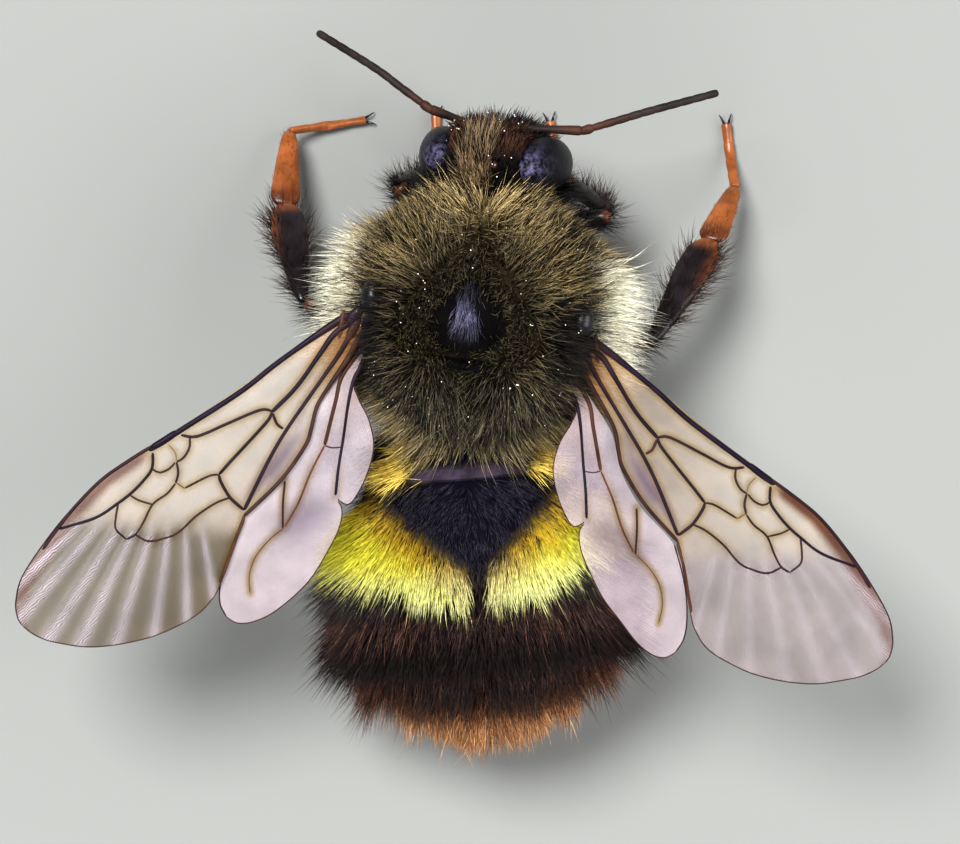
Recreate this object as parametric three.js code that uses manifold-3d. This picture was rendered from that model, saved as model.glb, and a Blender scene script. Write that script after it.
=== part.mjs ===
// A bumblebee standing on the floor with its wings spread to the sides, at life size.
// Millimetres, +Z up, head towards -Y, tail towards +Y, the animal's left side at +X.
// The solids reach out to the tips of the coat. The origin is on the floor, under the
// middle of the whole animal.

import * as THREE from 'three';
import { mergeVertices } from 'three/addons/utils/BufferGeometryUtils.js';
import Module from 'manifold-3d';

const wasm = await Module();
wasm.setup();

// ---------------------------------------------------------------- driving dimensions

const GAP = 0.05;                 // clearance between neighbouring pieces
const LIMB_THICKNESS = 0.5;       // least thickness of wings, legs and feelers
const FLOOR = 0;                  // level of the soles

const THORAX = {
  centre: [0, 0, 5.0],
  yaw: -7,                        // degrees, head end towards -X
  halfWidth: 3.05,
  halfLength: 2.85,
  halfHeight: 2.5,
  roundness: 2.25,                // 2 is an ellipsoid, more is boxier
};

// The body rolls a little to its left, so the right tegula lies higher and nearer the middle.
const TEGULA = { left: [2.42, 0, 1.15], right: [-2.3, 0, 1.5], half: [0.5, 0.46, 0.28], lean: 38 };

const HEAD = {
  centre: [-0.33, -3.35, 4.3],
  yaw: -5,
  tilt: -8,                       // degrees, mouth forward
  roll: 12,                       // degrees, crown towards the animal's left
  halfWidth: 1.5,
  front: 1.15,
  back: 0.95,
  top: 1.95,
  bottom: 1.75,
  roundness: 2.3,
};

const EYE = { offset: [1.2, -0.18, 0.25], half: [0.52, 0.64, 1.25], lean: -8 };

const ABDOMEN = {
  root: [0.34, 2.43, 4.3],        // where it hangs on the thorax
  yaw: 5,                         // degrees, tail towards -X
  pitch: -8,                      // degrees, tail down
  length: 7.25,
  halfWidth: 3.2,
  topHeight: 0.87,                // height above the spine as a share of the half width
  bottomHeight: 0.8,
  fullness: 0.47,
  squareness: 0.93,               // 1 is an elliptic section, less is boxier
  widestLate: 1.1,                // above 1 the widest ring moves towards the tail
  drop: 0.75,                     // how far the spine bends down at the tail
  flare: 0.04,                    // how much each ring's rear edge stands over the next
};
const ABDOMEN_EDGES = [0, 1.05, 3.45, 4.95, 5.85, 6.5, 7.25];

// Sweep is in degrees from straight out to the side, spread is how much the outer trailing
// edge fans out, and lag is how far back the hindwing lies from its place in the outline.
const WINGS = {
  left: { side: 1, root: [2.84, 0.07, 6.0], sweep: 40.7, scale: 1, spread: 0, lag: 0 },
  right: { side: -1, root: [-2.39, 0.59, 6.0], sweep: 44.9, scale: 0.972, spread: 0.1, lag: 0.12 },
};

// Wing outlines: x out along the span, y back towards the trailing edge.
const FOREWING_OUTLINE = [
  [-0.4, 0.05], [1.75, -0.27], [3.8, -0.42], [5.3, -0.68], [6.4, -0.79], [7.7, -0.65],
  [9.0, -0.33], [9.65, 0.06], [9.82, 0.5], [9.55, 1.2], [8.9, 1.9], [7.9, 2.5],
  [6.9, 2.79], [6.3, 2.78], [5.4, 2.3], [4.65, 1.86], [3.5, 1.8], [2.6, 1.58],
  [1.9, 1.1], [0.8, 0.78], [-0.3, 0.5],
];
const HINDWING_OUTLINE = [
  [0.0, 0.5], [2.0, 1.0], [4.0, 1.6], [5.5, 2.2], [6.15, 2.75], [6.34, 3.2], [6.1, 3.65],
  [5.5, 3.86], [4.6, 3.86], [3.7, 3.62], [2.95, 3.18], [2.84, 2.9], [2.62, 3.16],
  [2.05, 2.95], [1.45, 2.5], [1.15, 1.85], [1.02, 1.4], [0.4, 0.95],
];

// Feelers: socket, elbow and tip in the standing animal.
const ANTENNAE = {
  left: [[0.08, -4.35, 4.35], [1.1, -4.43, 5.1], [2.31, -5.35, 4.75], [3.63, -6.23, 3.85]],
  right: [[-0.75, -4.3, 4.35], [-2.27, -3.98, 4.6], [-3.73, -4.4, 4.85], [-5.29, -4.83, 4.6]],
};

// Legs: hip, knee, end of the tibia, end of the first tarsal joint, and toe, with half
// widths across the flat side of the tibia and of the first tarsal joint.
const LEGS = {
  leg_front_left: {
    points: [[0.7, -1.35, 2.75], [0.95, -1.9, 2.3], [1.85, -2.85, 3.4], [1.15, -3.25, 1.6],
      [0.98, -3.55, 0.55], [1.0, -4.6, 0.12]],
    femur: 0.38, tibia: 0.33, foot: 0.27,
  },
  leg_front_right: {
    points: [[-0.7, -1.35, 2.75], [-1.15, -1.8, 2.3], [-2.93, -2.17, 3.2], [-2.0, -3.0, 1.6],
      [-1.72, -3.4, 0.55], [-1.6, -4.45, 0.12]],
    femur: 0.38, tibia: 0.33, foot: 0.27,
  },
  leg_middle_left: {
    points: [[0.95, 0.2, 2.75], [1.5, 0.25, 2.2], [3.94, -0.21, 3.4], [4.41, -2.52, 1.5],
      [4.33, -4.2, 0.6], [2.6, -4.48, 0.14]],
    femur: 0.42, tibia: 0.47, foot: 0.35,
  },
  leg_middle_right: {
    points: [[-0.95, 0.2, 2.75], [-1.5, 0.3, 2.2], [-3.78, 0.72, 3.3], [-5.22, -1.71, 1.9],
      [-5.8, -2.91, 0.8], [-5.63, -4.4, 0.14]],
    femur: 0.42, tibia: 0.47, foot: 0.35,
  },
  leg_hind_left: {
    points: [[0.9, 1.3, 2.75], [1.35, 1.75, 2.1], [2.4, 3.6, 1.9], [2.5, 6.2, 0.75],
      [2.35, 7.7, 0.42], [1.7, 8.7, 0.14]],
    femur: 0.42, tibia: 0.6, foot: 0.45,
  },
  leg_hind_right: {
    points: [[-0.9, 1.3, 2.75], [-1.35, 1.75, 2.1], [-2.35, 3.7, 1.9], [-2.55, 6.25, 0.75],
      [-2.45, 7.7, 0.42], [-1.95, 8.75, 0.14]],
    femur: 0.42, tibia: 0.6, foot: 0.45,
  },
};

// ---------------------------------------------------------------- materials

const standard = (color, roughness) => new THREE.MeshStandardMaterial({ color, roughness, metalness: 0 });

const materials = {
  oliveCoat: () => standard(0x6f683c, 0.9),
  headCoat: () => standard(0x3a3222, 0.85),
  yellowCoat: () => standard(0xd8cc45, 0.9),
  blackCoat: () => standard(0x1d1714, 0.85),
  rustCoat: () => standard(0x9a5526, 0.9),
  eye: () => standard(0x14161c, 0.25),
  shell: () => standard(0x1b1414, 0.35),
  feeler: () => standard(0x231915, 0.5),
  leg: () => standard(0x20181a, 0.45),
  foot: () => standard(0x8a4a24, 0.55),
  tongue: () => standard(0x5a2e18, 0.4),
  wing: () => standard(0xcdbfae, 0.3),
};

// ---------------------------------------------------------------- shape tools

const vector = (numbers) => new THREE.Vector3(...numbers);
const degrees = THREE.MathUtils.degToRad;
const signedPower = (value, exponent) => Math.sign(value) * Math.abs(value) ** exponent;

// A closed surface from rows of points: row 0 and the last row shrink to one point each.
// point(i, v) gives row i at the share v of the way round.
function closedRows(rows, around, point) {
  const positions = [point(0, 0)];
  for (let i = 1; i < rows; i += 1) {
    for (let j = 0; j < around; j += 1) {
      positions.push(point(i, j / around));
    }
  }
  positions.push(point(rows, 0));
  const last = positions.length - 1;
  const at = (i, j) => 1 + (i - 1) * around + (j % around);
  const index = [];
  for (let j = 0; j < around; j += 1) {
    index.push(0, at(1, j + 1), at(1, j));
    for (let i = 1; i < rows - 1; i += 1) {
      index.push(at(i, j), at(i, j + 1), at(i + 1, j + 1));
      index.push(at(i, j), at(i + 1, j + 1), at(i + 1, j));
    }
    index.push(last, at(rows - 1, j), at(rows - 1, j + 1));
  }
  return facingOut(positions, index);
}

// An indexed geometry whose triangles all face out, whichever way round they came.
function facingOut(positions, index) {
  let volume = 0;
  for (let k = 0; k < index.length; k += 3) {
    const [a, b, c] = [positions[index[k]], positions[index[k + 1]], positions[index[k + 2]]];
    volume += a.dot(b.clone().cross(c));
  }
  const triangles = volume < 0 ? index.reverse() : index;
  const geometry = new THREE.BufferGeometry().setFromPoints(positions);
  geometry.setIndex(triangles);
  return geometry;
}

// A rounded body about its own origin: a superellipsoid whose six reaches may differ.
function roundedBody(reach, roundness, rows, around, grow = 0) {
  const { left, right, front, back, top, bottom } = reach;
  return closedRows(rows, around, (i, v) => {
    const along = -Math.cos(Math.PI * i / rows);
    const ring = (1 - Math.abs(along) ** roundness) ** (1 / roundness);
    const angle = 2 * Math.PI * v;
    const across = signedPower(Math.cos(angle), 2 / roundness) * ring;
    const up = signedPower(Math.sin(angle), 2 / roundness) * ring;
    return new THREE.Vector3(
      across * ((across > 0 ? left : right) + grow),
      along * ((along > 0 ? back : front) + grow),
      up * ((up > 0 ? top : bottom) + grow),
    );
  });
}

const evenReach = ([x, y, z]) => ({ left: x, right: x, front: y, back: y, top: z, bottom: z });

// A limb along a smooth path through points, with round ends. halfWidth(t) is measured
// along the flat direction and halfDepth(t) across it.
function limb(points, flat, halfWidth, halfDepth, rows = 8, around = 8, grow = 0) {
  const path = new THREE.CatmullRomCurve3(points.map(vector));
  return closedRows(rows, around, (i, v) => {
    const along = -Math.cos(Math.PI * i / rows);
    const t = (along + 1) / 2;
    const round = Math.sqrt(1 - along ** 6);
    const forward = path.getTangentAt(t);
    const wide = vector(flat).addScaledVector(forward, -forward.dot(vector(flat))).normalize();
    const deep = forward.clone().cross(wide);
    const angle = 2 * Math.PI * v + Math.PI / around;
    return path.getPointAt(t)
      .addScaledVector(forward, along * grow)
      .addScaledVector(wide, Math.cos(angle) * round * (halfWidth(t) + grow))
      .addScaledVector(deep, Math.sin(angle) * round * (halfDepth(t) + grow));
  });
}

// The value at t of straight stretches through [t, value] pairs.
function stretches(pairs) {
  return (t) => {
    const next = Math.max(1, pairs.findIndex(([place]) => place >= t));
    const [t0, value0] = pairs[next - 1];
    const [t1, value1] = pairs[next];
    return THREE.MathUtils.mapLinear(t, t0, t1, value0, value1);
  };
}

// The point half way between two others, lifted a little.
function between(from, to, lift) {
  return vector(from).lerp(vector(to), 0.5).add(new THREE.Vector3(0, 0, lift)).toArray();
}

function named(name, geometry, material, position = [0, 0, 0], rotation = [0, 0, 0]) {
  const mesh = new THREE.Mesh(geometry, material);
  mesh.name = name;
  mesh.position.set(...position);
  mesh.rotation.set(...rotation.map(degrees), 'ZXY');
  return mesh;
}

// ---------------------------------------------------------------- cutting

// The manifold solid of a mesh, in the frame of the whole animal.
function solidOf(mesh) {
  mesh.updateWorldMatrix(true, false);
  const bare = mesh.geometry.clone().applyMatrix4(mesh.matrixWorld);
  bare.deleteAttribute('normal');
  bare.deleteAttribute('uv');
  const merged = mergeVertices(bare, 1e-5);
  return new wasm.Manifold(new wasm.Mesh({
    numProp: 3,
    vertProperties: new Float32Array(merged.attributes.position.array),
    triVerts: new Uint32Array(merged.index.array),
  }));
}

// Cuts the mesh's geometry by cutters, which are meshes placed as their pieces are.
function cut(mesh, cutters) {
  let solid = solidOf(mesh);
  for (const cutter of cutters) {
    solid = solid.subtract(solidOf(cutter));
  }
  const { vertProperties, triVerts } = solid.getMesh();
  const geometry = new THREE.BufferGeometry();
  geometry.setAttribute('position', new THREE.BufferAttribute(vertProperties, 3));
  geometry.setIndex(new THREE.BufferAttribute(triVerts, 1));
  mesh.geometry = geometry.applyMatrix4(mesh.matrixWorld.clone().invert());
}

// A twin of a mesh with another geometry, in the same place.
function twin(mesh, geometry) {
  const copy = new THREE.Mesh(geometry);
  copy.position.copy(mesh.position);
  copy.rotation.copy(mesh.rotation);
  mesh.parent.updateWorldMatrix(true, false);
  copy.applyMatrix4(mesh.parent.matrixWorld);
  return copy;
}

// ---------------------------------------------------------------- thorax and head

function thoraxGeometry(grow = 0) {
  const { halfWidth, halfLength, halfHeight, roundness } = THORAX;
  return roundedBody(evenReach([halfWidth, halfLength, halfHeight]), roundness, 14, 24, grow);
}

function tegulaGeometry(grow = 0) {
  return roundedBody(evenReach(TEGULA.half), 2, 6, 10, grow);
}

function headGeometry(grow = 0) {
  const { halfWidth, front, back, top, bottom, roundness } = HEAD;
  const reach = { left: halfWidth, right: halfWidth, front, back, top, bottom };
  return roundedBody(reach, roundness, 12, 18, grow);
}

function eyeGeometry(grow = 0) {
  return roundedBody(evenReach(EYE.half), 2, 8, 12, grow);
}

// A jaw: a short curved blade from the cheek to the middle below the mouth.
function mandibleGeometry(side, grow = 0) {
  const points = [[side * 0.72, -0.3, -1.3], [side * 0.66, -0.62, -1.8], [side * 0.24, -0.72, -2.15]];
  return limb(points, [0, 0.4, 1], stretches([[0, 0.3], [1, 0.26]]), () => LIMB_THICKNESS / 2, 6, 8, grow);
}

// The tongue, folded back under the head in its sheath.
function proboscisGeometry() {
  const points = [[0, -0.45, -1.75], [0, -0.1, -2.12], [0, 0.75, -2.05], [0, 1.55, -1.7]];
  return limb(points, [1, 0, 0], stretches([[0, 0.4], [1, 0.27]]), stretches([[0, 0.3], [1, 0.25]]), 8, 8);
}

const thoraxGroup = new THREE.Group();
thoraxGroup.position.set(...THORAX.centre);
thoraxGroup.rotation.z = degrees(THORAX.yaw);
const thorax = named('thorax', thoraxGeometry(), materials.oliveCoat());
thoraxGroup.add(thorax);

const headGroup = new THREE.Group();
headGroup.position.set(...HEAD.centre);
headGroup.rotation.set(degrees(HEAD.tilt), degrees(HEAD.roll), degrees(HEAD.yaw), 'ZXY');
const head = named('head', headGeometry(), materials.headCoat());
headGroup.add(head);

const tegulae = {};
const eyes = {};
const mandibles = {};
for (const [name, side] of [['left', 1], ['right', -1]]) {
  const mirror = ([x, y, z]) => [side * x, y, z];
  tegulae[name] = named(`tegula_${name}`, tegulaGeometry(), materials.shell(),
    TEGULA[name], [0, side * TEGULA.lean, 0]);
  thoraxGroup.add(tegulae[name]);
  eyes[name] = named(`eye_${name}`, eyeGeometry(), materials.eye(),
    mirror(EYE.offset), [0, side * EYE.lean, 0]);
  mandibles[name] = named(`mandible_${name}`, mandibleGeometry(side), materials.shell());
  headGroup.add(eyes[name], mandibles[name]);
}
const proboscis = named('proboscis', proboscisGeometry(), materials.tongue());
headGroup.add(proboscis);

// ---------------------------------------------------------------- feelers

const feelerGroup = new THREE.Group();
const scapes = {};
const flagella = {};
const feelerHalf = () => LIMB_THICKNESS / 2;
for (const [name, [socket, elbow, bend, tip]] of Object.entries(ANTENNAE)) {
  const from = vector(socket);
  const shaft = (points, rows, grow) => limb(
    points.map((place) => vector(place).sub(from).toArray()),
    [0, 0, 1], feelerHalf, feelerHalf, rows, 8, grow,
  );
  const middle = between(socket, elbow, 0.05);
  scapes[name] = named(`antenna_${name}_scape`, shaft([socket, middle, elbow], 5), materials.feeler(), socket);
  flagella[name] = named(`antenna_${name}_flagellum`, shaft([elbow, bend, tip], 9), materials.feeler(), socket);
  scapes[name].userData.cutter = () => shaft([socket, middle, elbow], 5, GAP);
  feelerGroup.add(scapes[name], flagella[name]);
}

// ---------------------------------------------------------------- abdomen

// A point on the abdomen, s along its spine and v round it, scaled about the spine.
function abdomenPoint(s, v, scale) {
  const t = s / ABDOMEN.length;
  const bulge = Math.max(0, Math.sin(Math.PI * t ** ABDOMEN.widestLate));
  const width = ABDOMEN.halfWidth * bulge ** ABDOMEN.fullness;
  const angle = 2 * Math.PI * v;
  const up = Math.sin(angle);
  const height = width * (up > 0 ? ABDOMEN.topHeight : ABDOMEN.bottomHeight);
  const spine = -0.15 - ABDOMEN.drop * t ** 2.5;
  return new THREE.Vector3(
    scale * width * signedPower(Math.cos(angle), ABDOMEN.squareness),
    s,
    spine + scale * height * signedPower(up, ABDOMEN.squareness),
  );
}

// The ring of the abdomen from one edge to the next: flat faces on the spine close it
// where it meets its neighbours, and the first and last rings end in a round tip.
function abdomenRingGeometry(start, end) {
  const steps = 4;
  const isFirst = start === 0;
  const isLast = end === ABDOMEN.length;
  const from = isFirst ? start : start + GAP / 2;
  const to = isLast ? end : end - GAP / 2;
  const stations = [{ s: from, scale: 0 }];
  for (let k = isFirst ? 1 : 0; k <= (isLast ? steps - 1 : steps); k += 1) {
    const even = k / steps;
    const eased = isLast ? 1 - (1 - even) ** 2 : even;
    const share = isFirst ? even ** 2 : eased;
    stations.push({ s: from + (to - from) * share, scale: 1 + ABDOMEN.flare * (share - 0.5) });
  }
  stations.push({ s: to, scale: 0 });
  return closedRows(stations.length - 1, 24, (i, v) => abdomenPoint(stations[i].s, v, stations[i].scale));
}

const abdomenGroup = new THREE.Group();
abdomenGroup.position.set(...ABDOMEN.root);
abdomenGroup.rotation.set(degrees(ABDOMEN.pitch), 0, degrees(ABDOMEN.yaw), 'ZXY');
const ringCoats = ['yellowCoat', 'yellowCoat', 'blackCoat', 'blackCoat', 'rustCoat', 'rustCoat'];
const abdomenRings = ringCoats.map((coat, ring) => named(
  `abdomen_${ring + 1}`,
  abdomenRingGeometry(ABDOMEN_EDGES[ring], ABDOMEN_EDGES[ring + 1]),
  materials[coat](),
));
abdomenGroup.add(...abdomenRings);

// ---------------------------------------------------------------- wings

// A point of the outline, moved back where the outer trailing edge fans out.
function fanned([x, y], spread) {
  const outward = THREE.MathUtils.smoothstep(x, 4.6, 7);
  const behind = THREE.MathUtils.smoothstep(y, 0, 2.5);
  return [x, y * (1 + spread * outward * behind)];
}

// A wing plate from its outline, mirrored to the animal's right side where side is -1.
function wingGeometry(outline, { side, scale, spread }, thickness, shift) {
  const points = outline
    .map((point) => fanned(point, spread))
    .map(([x, y]) => new THREE.Vector2(x * scale, (y + shift) * scale));
  const smooth = new THREE.SplineCurve([...points, points[0]]).getPoints(2 * points.length);
  const shape = new THREE.Shape(smooth.slice(0, -1).map(({ x, y }) => new THREE.Vector2(side * x, y)));
  const plate = new THREE.ExtrudeGeometry(shape, { depth: thickness, bevelEnabled: false });
  return plate.translate(0, 0, -thickness / 2);
}

const wings = Object.entries(WINGS).map(([name, wing]) => {
  const group = new THREE.Group();
  group.position.set(...wing.root);
  group.rotation.z = degrees(wing.side * wing.sweep);
  const plate = (outline, thickness, shift) => wingGeometry(outline, wing, thickness, shift);
  const forewing = named(`forewing_${name}`, plate(FOREWING_OUTLINE, LIMB_THICKNESS, 0), materials.wing());
  const hindwing = named(`hindwing_${name}`, plate(HINDWING_OUTLINE, LIMB_THICKNESS, wing.lag), materials.wing());
  group.add(forewing, hindwing);
  const clearance = () => [0, GAP].map((shift) => plate(FOREWING_OUTLINE, 2 * LIMB_THICKNESS, shift));
  return { group, forewing, hindwing, clearance };
});

// ---------------------------------------------------------------- legs

// Three pieces of a leg: femur with the hip joints, tibia, and foot with a flat sole.
function legPieces(name, { points, femur, tibia, foot }) {
  const hip = vector(points[0]);
  const [, trochanter, knee, ankle, heel, toe] = points;
  const half = LIMB_THICKNESS / 2;
  const outward = [name.endsWith('left') ? 1 : -1, 0.25, 0.3];
  const local = (places) => places.map((place) => vector(place).sub(hip).toArray());
  const ball = [...between(heel, toe, 0).slice(0, 2), toe[2]];
  const shapes = {
    femur: (grow) => limb(local([points[0], trochanter, between(trochanter, knee, 0.12), knee]), outward,
      stretches([[0, 0.42], [0.3, 0.3], [0.6, femur], [1, 0.27]]), stretches([[0, 0.42], [0.6, 0.32], [1, 0.26]]),
      9, 8, grow),
    tibia: (grow) => limb(local([knee, between(knee, ankle, 0.06), ankle]), outward,
      stretches([[0, half], [0.75, tibia], [1, tibia * 0.9]]), () => half + 0.02, 7, 8, grow),
    tarsus: () => limb(local([ankle, heel, ball, toe]), outward,
      stretches([[0, foot * 0.85], [0.45, foot], [0.6, half], [1, half]]), () => half, 10, 8),
  };
  const finish = { femur: materials.leg(), tibia: materials.leg(), tarsus: materials.foot() };
  const pieces = {};
  for (const part of Object.keys(shapes)) {
    pieces[part] = named(`${name}_${part}`, shapes[part](0), finish[part]);
    pieces[part].userData.cutter = () => shapes[part](GAP);
  }
  levelSole(pieces.tarsus.geometry, hip.z);
  return { hip, pieces };
}

// Flattens whatever reaches below the floor, so that the foot stands on a flat sole.
function levelSole(geometry, hipHeight) {
  const places = geometry.attributes.position;
  for (let k = 0; k < places.count; k += 1) {
    places.setZ(k, Math.max(places.getZ(k), FLOOR - hipHeight));
  }
}

const legs = Object.entries(LEGS).map(([name, plan]) => {
  const { hip, pieces } = legPieces(name, plan);
  const group = new THREE.Group();
  group.position.copy(hip);
  group.add(...Object.values(pieces));
  return { group, ...pieces };
});

// ---------------------------------------------------------------- assembly

const bumblebee = new THREE.Group();
bumblebee.name = 'bumblebee';
bumblebee.add(thoraxGroup, headGroup, feelerGroup, abdomenGroup);
bumblebee.add(...[...wings, ...legs].map(({ group }) => group));
bumblebee.updateMatrixWorld(true);

const grown = {
  thorax: twin(thorax, thoraxGeometry(GAP)),
  head: twin(head, headGeometry(GAP)),
  tegulae: Object.values(tegulae).map((tegula) => twin(tegula, tegulaGeometry(GAP))),
  eyes: Object.values(eyes).map((eye) => twin(eye, eyeGeometry(GAP))),
  jaws: [1, -1].map((side) => twin(head, mandibleGeometry(side, GAP))),
};

cut(mandibles.right, [grown.jaws[0]]);
for (const mandible of Object.values(mandibles)) {
  cut(mandible, [grown.head]);
}
cut(proboscis, [grown.head, grown.thorax, ...grown.jaws]);
for (const [name, scape] of Object.entries(scapes)) {
  cut(flagella[name], [twin(scape, scape.userData.cutter())]);
  cut(scape, [grown.head]);
}
for (const { forewing, hindwing, clearance } of wings) {
  cut(hindwing, [...clearance().map((plate) => twin(forewing, plate)), grown.thorax]);
  cut(forewing, [grown.thorax, ...grown.tegulae]);
}
for (const { femur, tibia, tarsus } of legs) {
  cut(tarsus, [twin(tibia, tibia.userData.cutter())]);
  cut(tibia, [twin(femur, femur.userData.cutter())]);
  cut(femur, [grown.thorax]);
}
cut(abdomenRings[0], [grown.thorax]);
cut(head, [...grown.eyes, grown.thorax]);
cut(thorax, grown.tegulae);

// The origin lies on the floor under the middle of the whole animal.
const box = new THREE.Box3().setFromObject(bumblebee, true);
const middle = box.getCenter(new THREE.Vector3());
const standing = new THREE.Group();
bumblebee.position.set(-middle.x, -middle.y, -box.min.z);
standing.add(bumblebee);
standing.updateMatrixWorld(true);

export default standing;
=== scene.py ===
import math

import bpy
import numpy as np
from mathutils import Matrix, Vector


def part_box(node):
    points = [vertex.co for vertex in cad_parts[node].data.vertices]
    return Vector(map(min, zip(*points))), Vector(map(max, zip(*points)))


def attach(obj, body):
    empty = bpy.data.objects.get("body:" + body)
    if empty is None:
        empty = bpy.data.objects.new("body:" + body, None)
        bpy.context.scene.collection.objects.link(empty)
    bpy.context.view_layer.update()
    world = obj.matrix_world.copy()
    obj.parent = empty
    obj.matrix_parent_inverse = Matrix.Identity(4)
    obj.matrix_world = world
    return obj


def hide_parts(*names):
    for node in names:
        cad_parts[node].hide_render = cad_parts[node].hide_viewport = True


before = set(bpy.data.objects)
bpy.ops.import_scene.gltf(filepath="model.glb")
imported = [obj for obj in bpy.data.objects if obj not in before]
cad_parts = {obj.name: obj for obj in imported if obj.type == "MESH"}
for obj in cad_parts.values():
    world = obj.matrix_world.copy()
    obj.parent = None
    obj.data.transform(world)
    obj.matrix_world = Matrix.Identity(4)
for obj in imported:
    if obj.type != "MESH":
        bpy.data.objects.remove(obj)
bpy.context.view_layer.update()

bl_info = {
    "name": "Bumblebee",
    "version": (1, 0, 0),
    "blender": (4, 5, 0),
    "location": "View3D > Sidebar > Bumblebee",
    "description": "Builds a standing bumblebee: shell, coat, veined wings, legs and feelers",
    "category": "Add Mesh",
}

MM = 0.001
FULL_TURN = 2.0 * math.pi

# ------------------------------------------------------------------ places and sizes
# All shapes are worked out in millimetres in the standing animal's frame: head towards
# -Y, the animal's left at +X, the floor at 0. SHIFT brings that frame onto the model's.

THORAX_CENTRE = np.array([0.0, 0.0, 5.0])
THORAX_BOX = np.array([list(corner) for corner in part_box("thorax")]) / MM
SHIFT = THORAX_BOX.mean(axis=0) - THORAX_CENTRE
SHIFT[2] = 0.0

# Reaches: left, right, front, back, up, down.
THORAX_REACH = (2.38, 2.38, 2.4, 2.4, 2.12, 2.12)
THORAX_ROUNDNESS = 2.3
THORAX_MIDLINE = 0.22           # how far the top's middle line lies to the left
PATCH = (0.22, 0.2, 1.0, 0.97)  # bare patch on top of the thorax: centre and half axes
HEAD_REACH = (1.4, 1.4, 0.92, 0.8, 1.66, 1.7)
HEAD_ROUNDNESS = 2.3
EYE_OFFSET = (1.15, -0.18, 0.25)
EYE_HALF = (0.51, 0.63, 1.23)
EYE_LEAN = -8
TEGULAE = {"left": (1, (2.38, -0.03, 1.2)), "right": (-1, (-2.26, -0.03, 1.45))}
TEGULA_HALF = (0.24, 0.33, 0.2)
TEGULA_LEAN = 38

ABDOMEN_LENGTH = 6.95
ABDOMEN_HALF_WIDTH = 2.72
ABDOMEN_TOP = 0.87
ABDOMEN_BOTTOM = 0.8
ABDOMEN_FULLNESS = 0.47
ABDOMEN_SQUARENESS = 0.93
ABDOMEN_WIDEST_LATE = 1.1
ABDOMEN_DROP = 0.75
TERGITE_EDGES = np.array([0.0, 1.05, 3.4, 4.8, 5.65, 6.3, ABDOMEN_LENGTH])

ANTENNAE = {
    "left": [(0.1, -4.1, 4.35), (1.1, -4.43, 5.1), (2.31, -5.35, 4.75), (3.6, -6.2, 3.88)],
    "right": [(-0.72, -4.05, 4.35), (-2.27, -3.98, 4.6), (-3.73, -4.4, 4.85), (-5.25, -4.82, 4.61)],
}

# Hip, trochanter, knee, end of the tibia, heel, toe; then the half widths of the flat
# side of the tibia's end and of the first tarsal joint.
LEGS = {
    "front_left": ([(0.7, -1.35, 2.9), (0.95, -1.9, 2.3), (1.85, -2.85, 3.4), (1.15, -3.25, 1.6),
                    (0.98, -3.55, 0.55), (1.0, -4.6, 0.1)], 0.25, 0.19),
    "front_right": ([(-0.7, -1.35, 2.9), (-1.15, -1.8, 2.3), (-2.93, -2.17, 3.2), (-2.0, -3.0, 1.6),
                     (-1.72, -3.4, 0.55), (-1.6, -4.45, 0.1)], 0.25, 0.19),
    "middle_left": ([(0.95, 0.2, 2.9), (1.5, 0.25, 2.2), (3.94, -0.21, 3.4), (4.41, -2.52, 1.5),
                     (4.33, -4.2, 0.6), (2.6, -4.48, 0.1)], 0.43, 0.31),
    "middle_right": ([(-0.95, 0.2, 2.9), (-1.5, 0.3, 2.2), (-3.78, 0.72, 3.3), (-5.22, -1.71, 1.9),
                      (-5.8, -2.91, 0.8), (-5.63, -4.4, 0.1)], 0.43, 0.31),
    "hind_left": ([(0.9, 1.3, 2.9), (1.35, 1.75, 2.1), (2.4, 3.6, 1.9), (2.5, 6.2, 0.75),
                   (2.35, 7.7, 0.42), (1.7, 8.7, 0.1)], 0.53, 0.4),
    "hind_right": ([(-0.9, 1.3, 2.9), (-1.35, 1.75, 2.1), (-2.35, 3.7, 1.9), (-2.55, 6.25, 0.75),
                    (-2.45, 7.7, 0.42), (-1.95, 8.75, 0.1)], 0.53, 0.4),
}

# Wings: x out along the span, y back towards the trailing edge. Sweep is in degrees. Spread is
# how much the outer trailing edge fans out, lag is how far back the hindwing lies, and smoke
# is how dark the outer part of the forewing is.
WING_LEVEL = 6.0
WINGS = {
    "left": {"side": 1, "root": (2.84, 0.07, WING_LEVEL), "sweep": 40.7, "scale": 1.0,
             "spread": 0.0, "lag": 0.0, "smoke": 1.0},
    "right": {"side": -1, "root": (-2.39, 0.59, WING_LEVEL), "sweep": 44.9, "scale": 0.972,
              "spread": 0.1, "lag": 0.12, "smoke": 0.35},
}
FILM_HALF = 0.011               # half thickness of the wing films
HINDWING_DROP = 0.09            # how far the hindwings lie below the forewings
PLEAT_CENTRE = (4.3, -0.5)      # the pleats fan out from here, at these angles in degrees
PLEAT_ANGLES = (3, 9, 17, 24, 32, 41, 50, 59)
FOREWING_LEAD = [(-0.3, 0.08), (0.75, -0.12), (1.85, -0.25), (3.8, -0.44), (5.3, -0.68), (6.4, -0.79),
                 (7.7, -0.66), (9.0, -0.34), (9.55, 0.0), (9.76, 0.3), (9.8, 0.5)]
FOREWING_TRAIL = [(-0.3, 0.4), (0.67, 0.74), (1.4, 0.93), (1.86, 1.09), (2.27, 1.38), (2.6, 1.58),
                  (3.5, 1.8), (4.62, 1.87), (5.1, 2.16), (5.9, 2.6), (6.3, 2.76), (6.9, 2.79),
                  (7.9, 2.5), (8.9, 1.9), (9.5, 1.25), (9.75, 0.8), (9.8, 0.5)]
HINDWING_LEAD = [(-0.1, 0.6), (1.0, 0.84), (1.86, 1.05), (2.6, 1.5), (3.5, 1.76), (4.62, 1.84),
                 (5.5, 2.3), (6.0, 2.66), (6.25, 2.95), (6.33, 3.25)]
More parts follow.
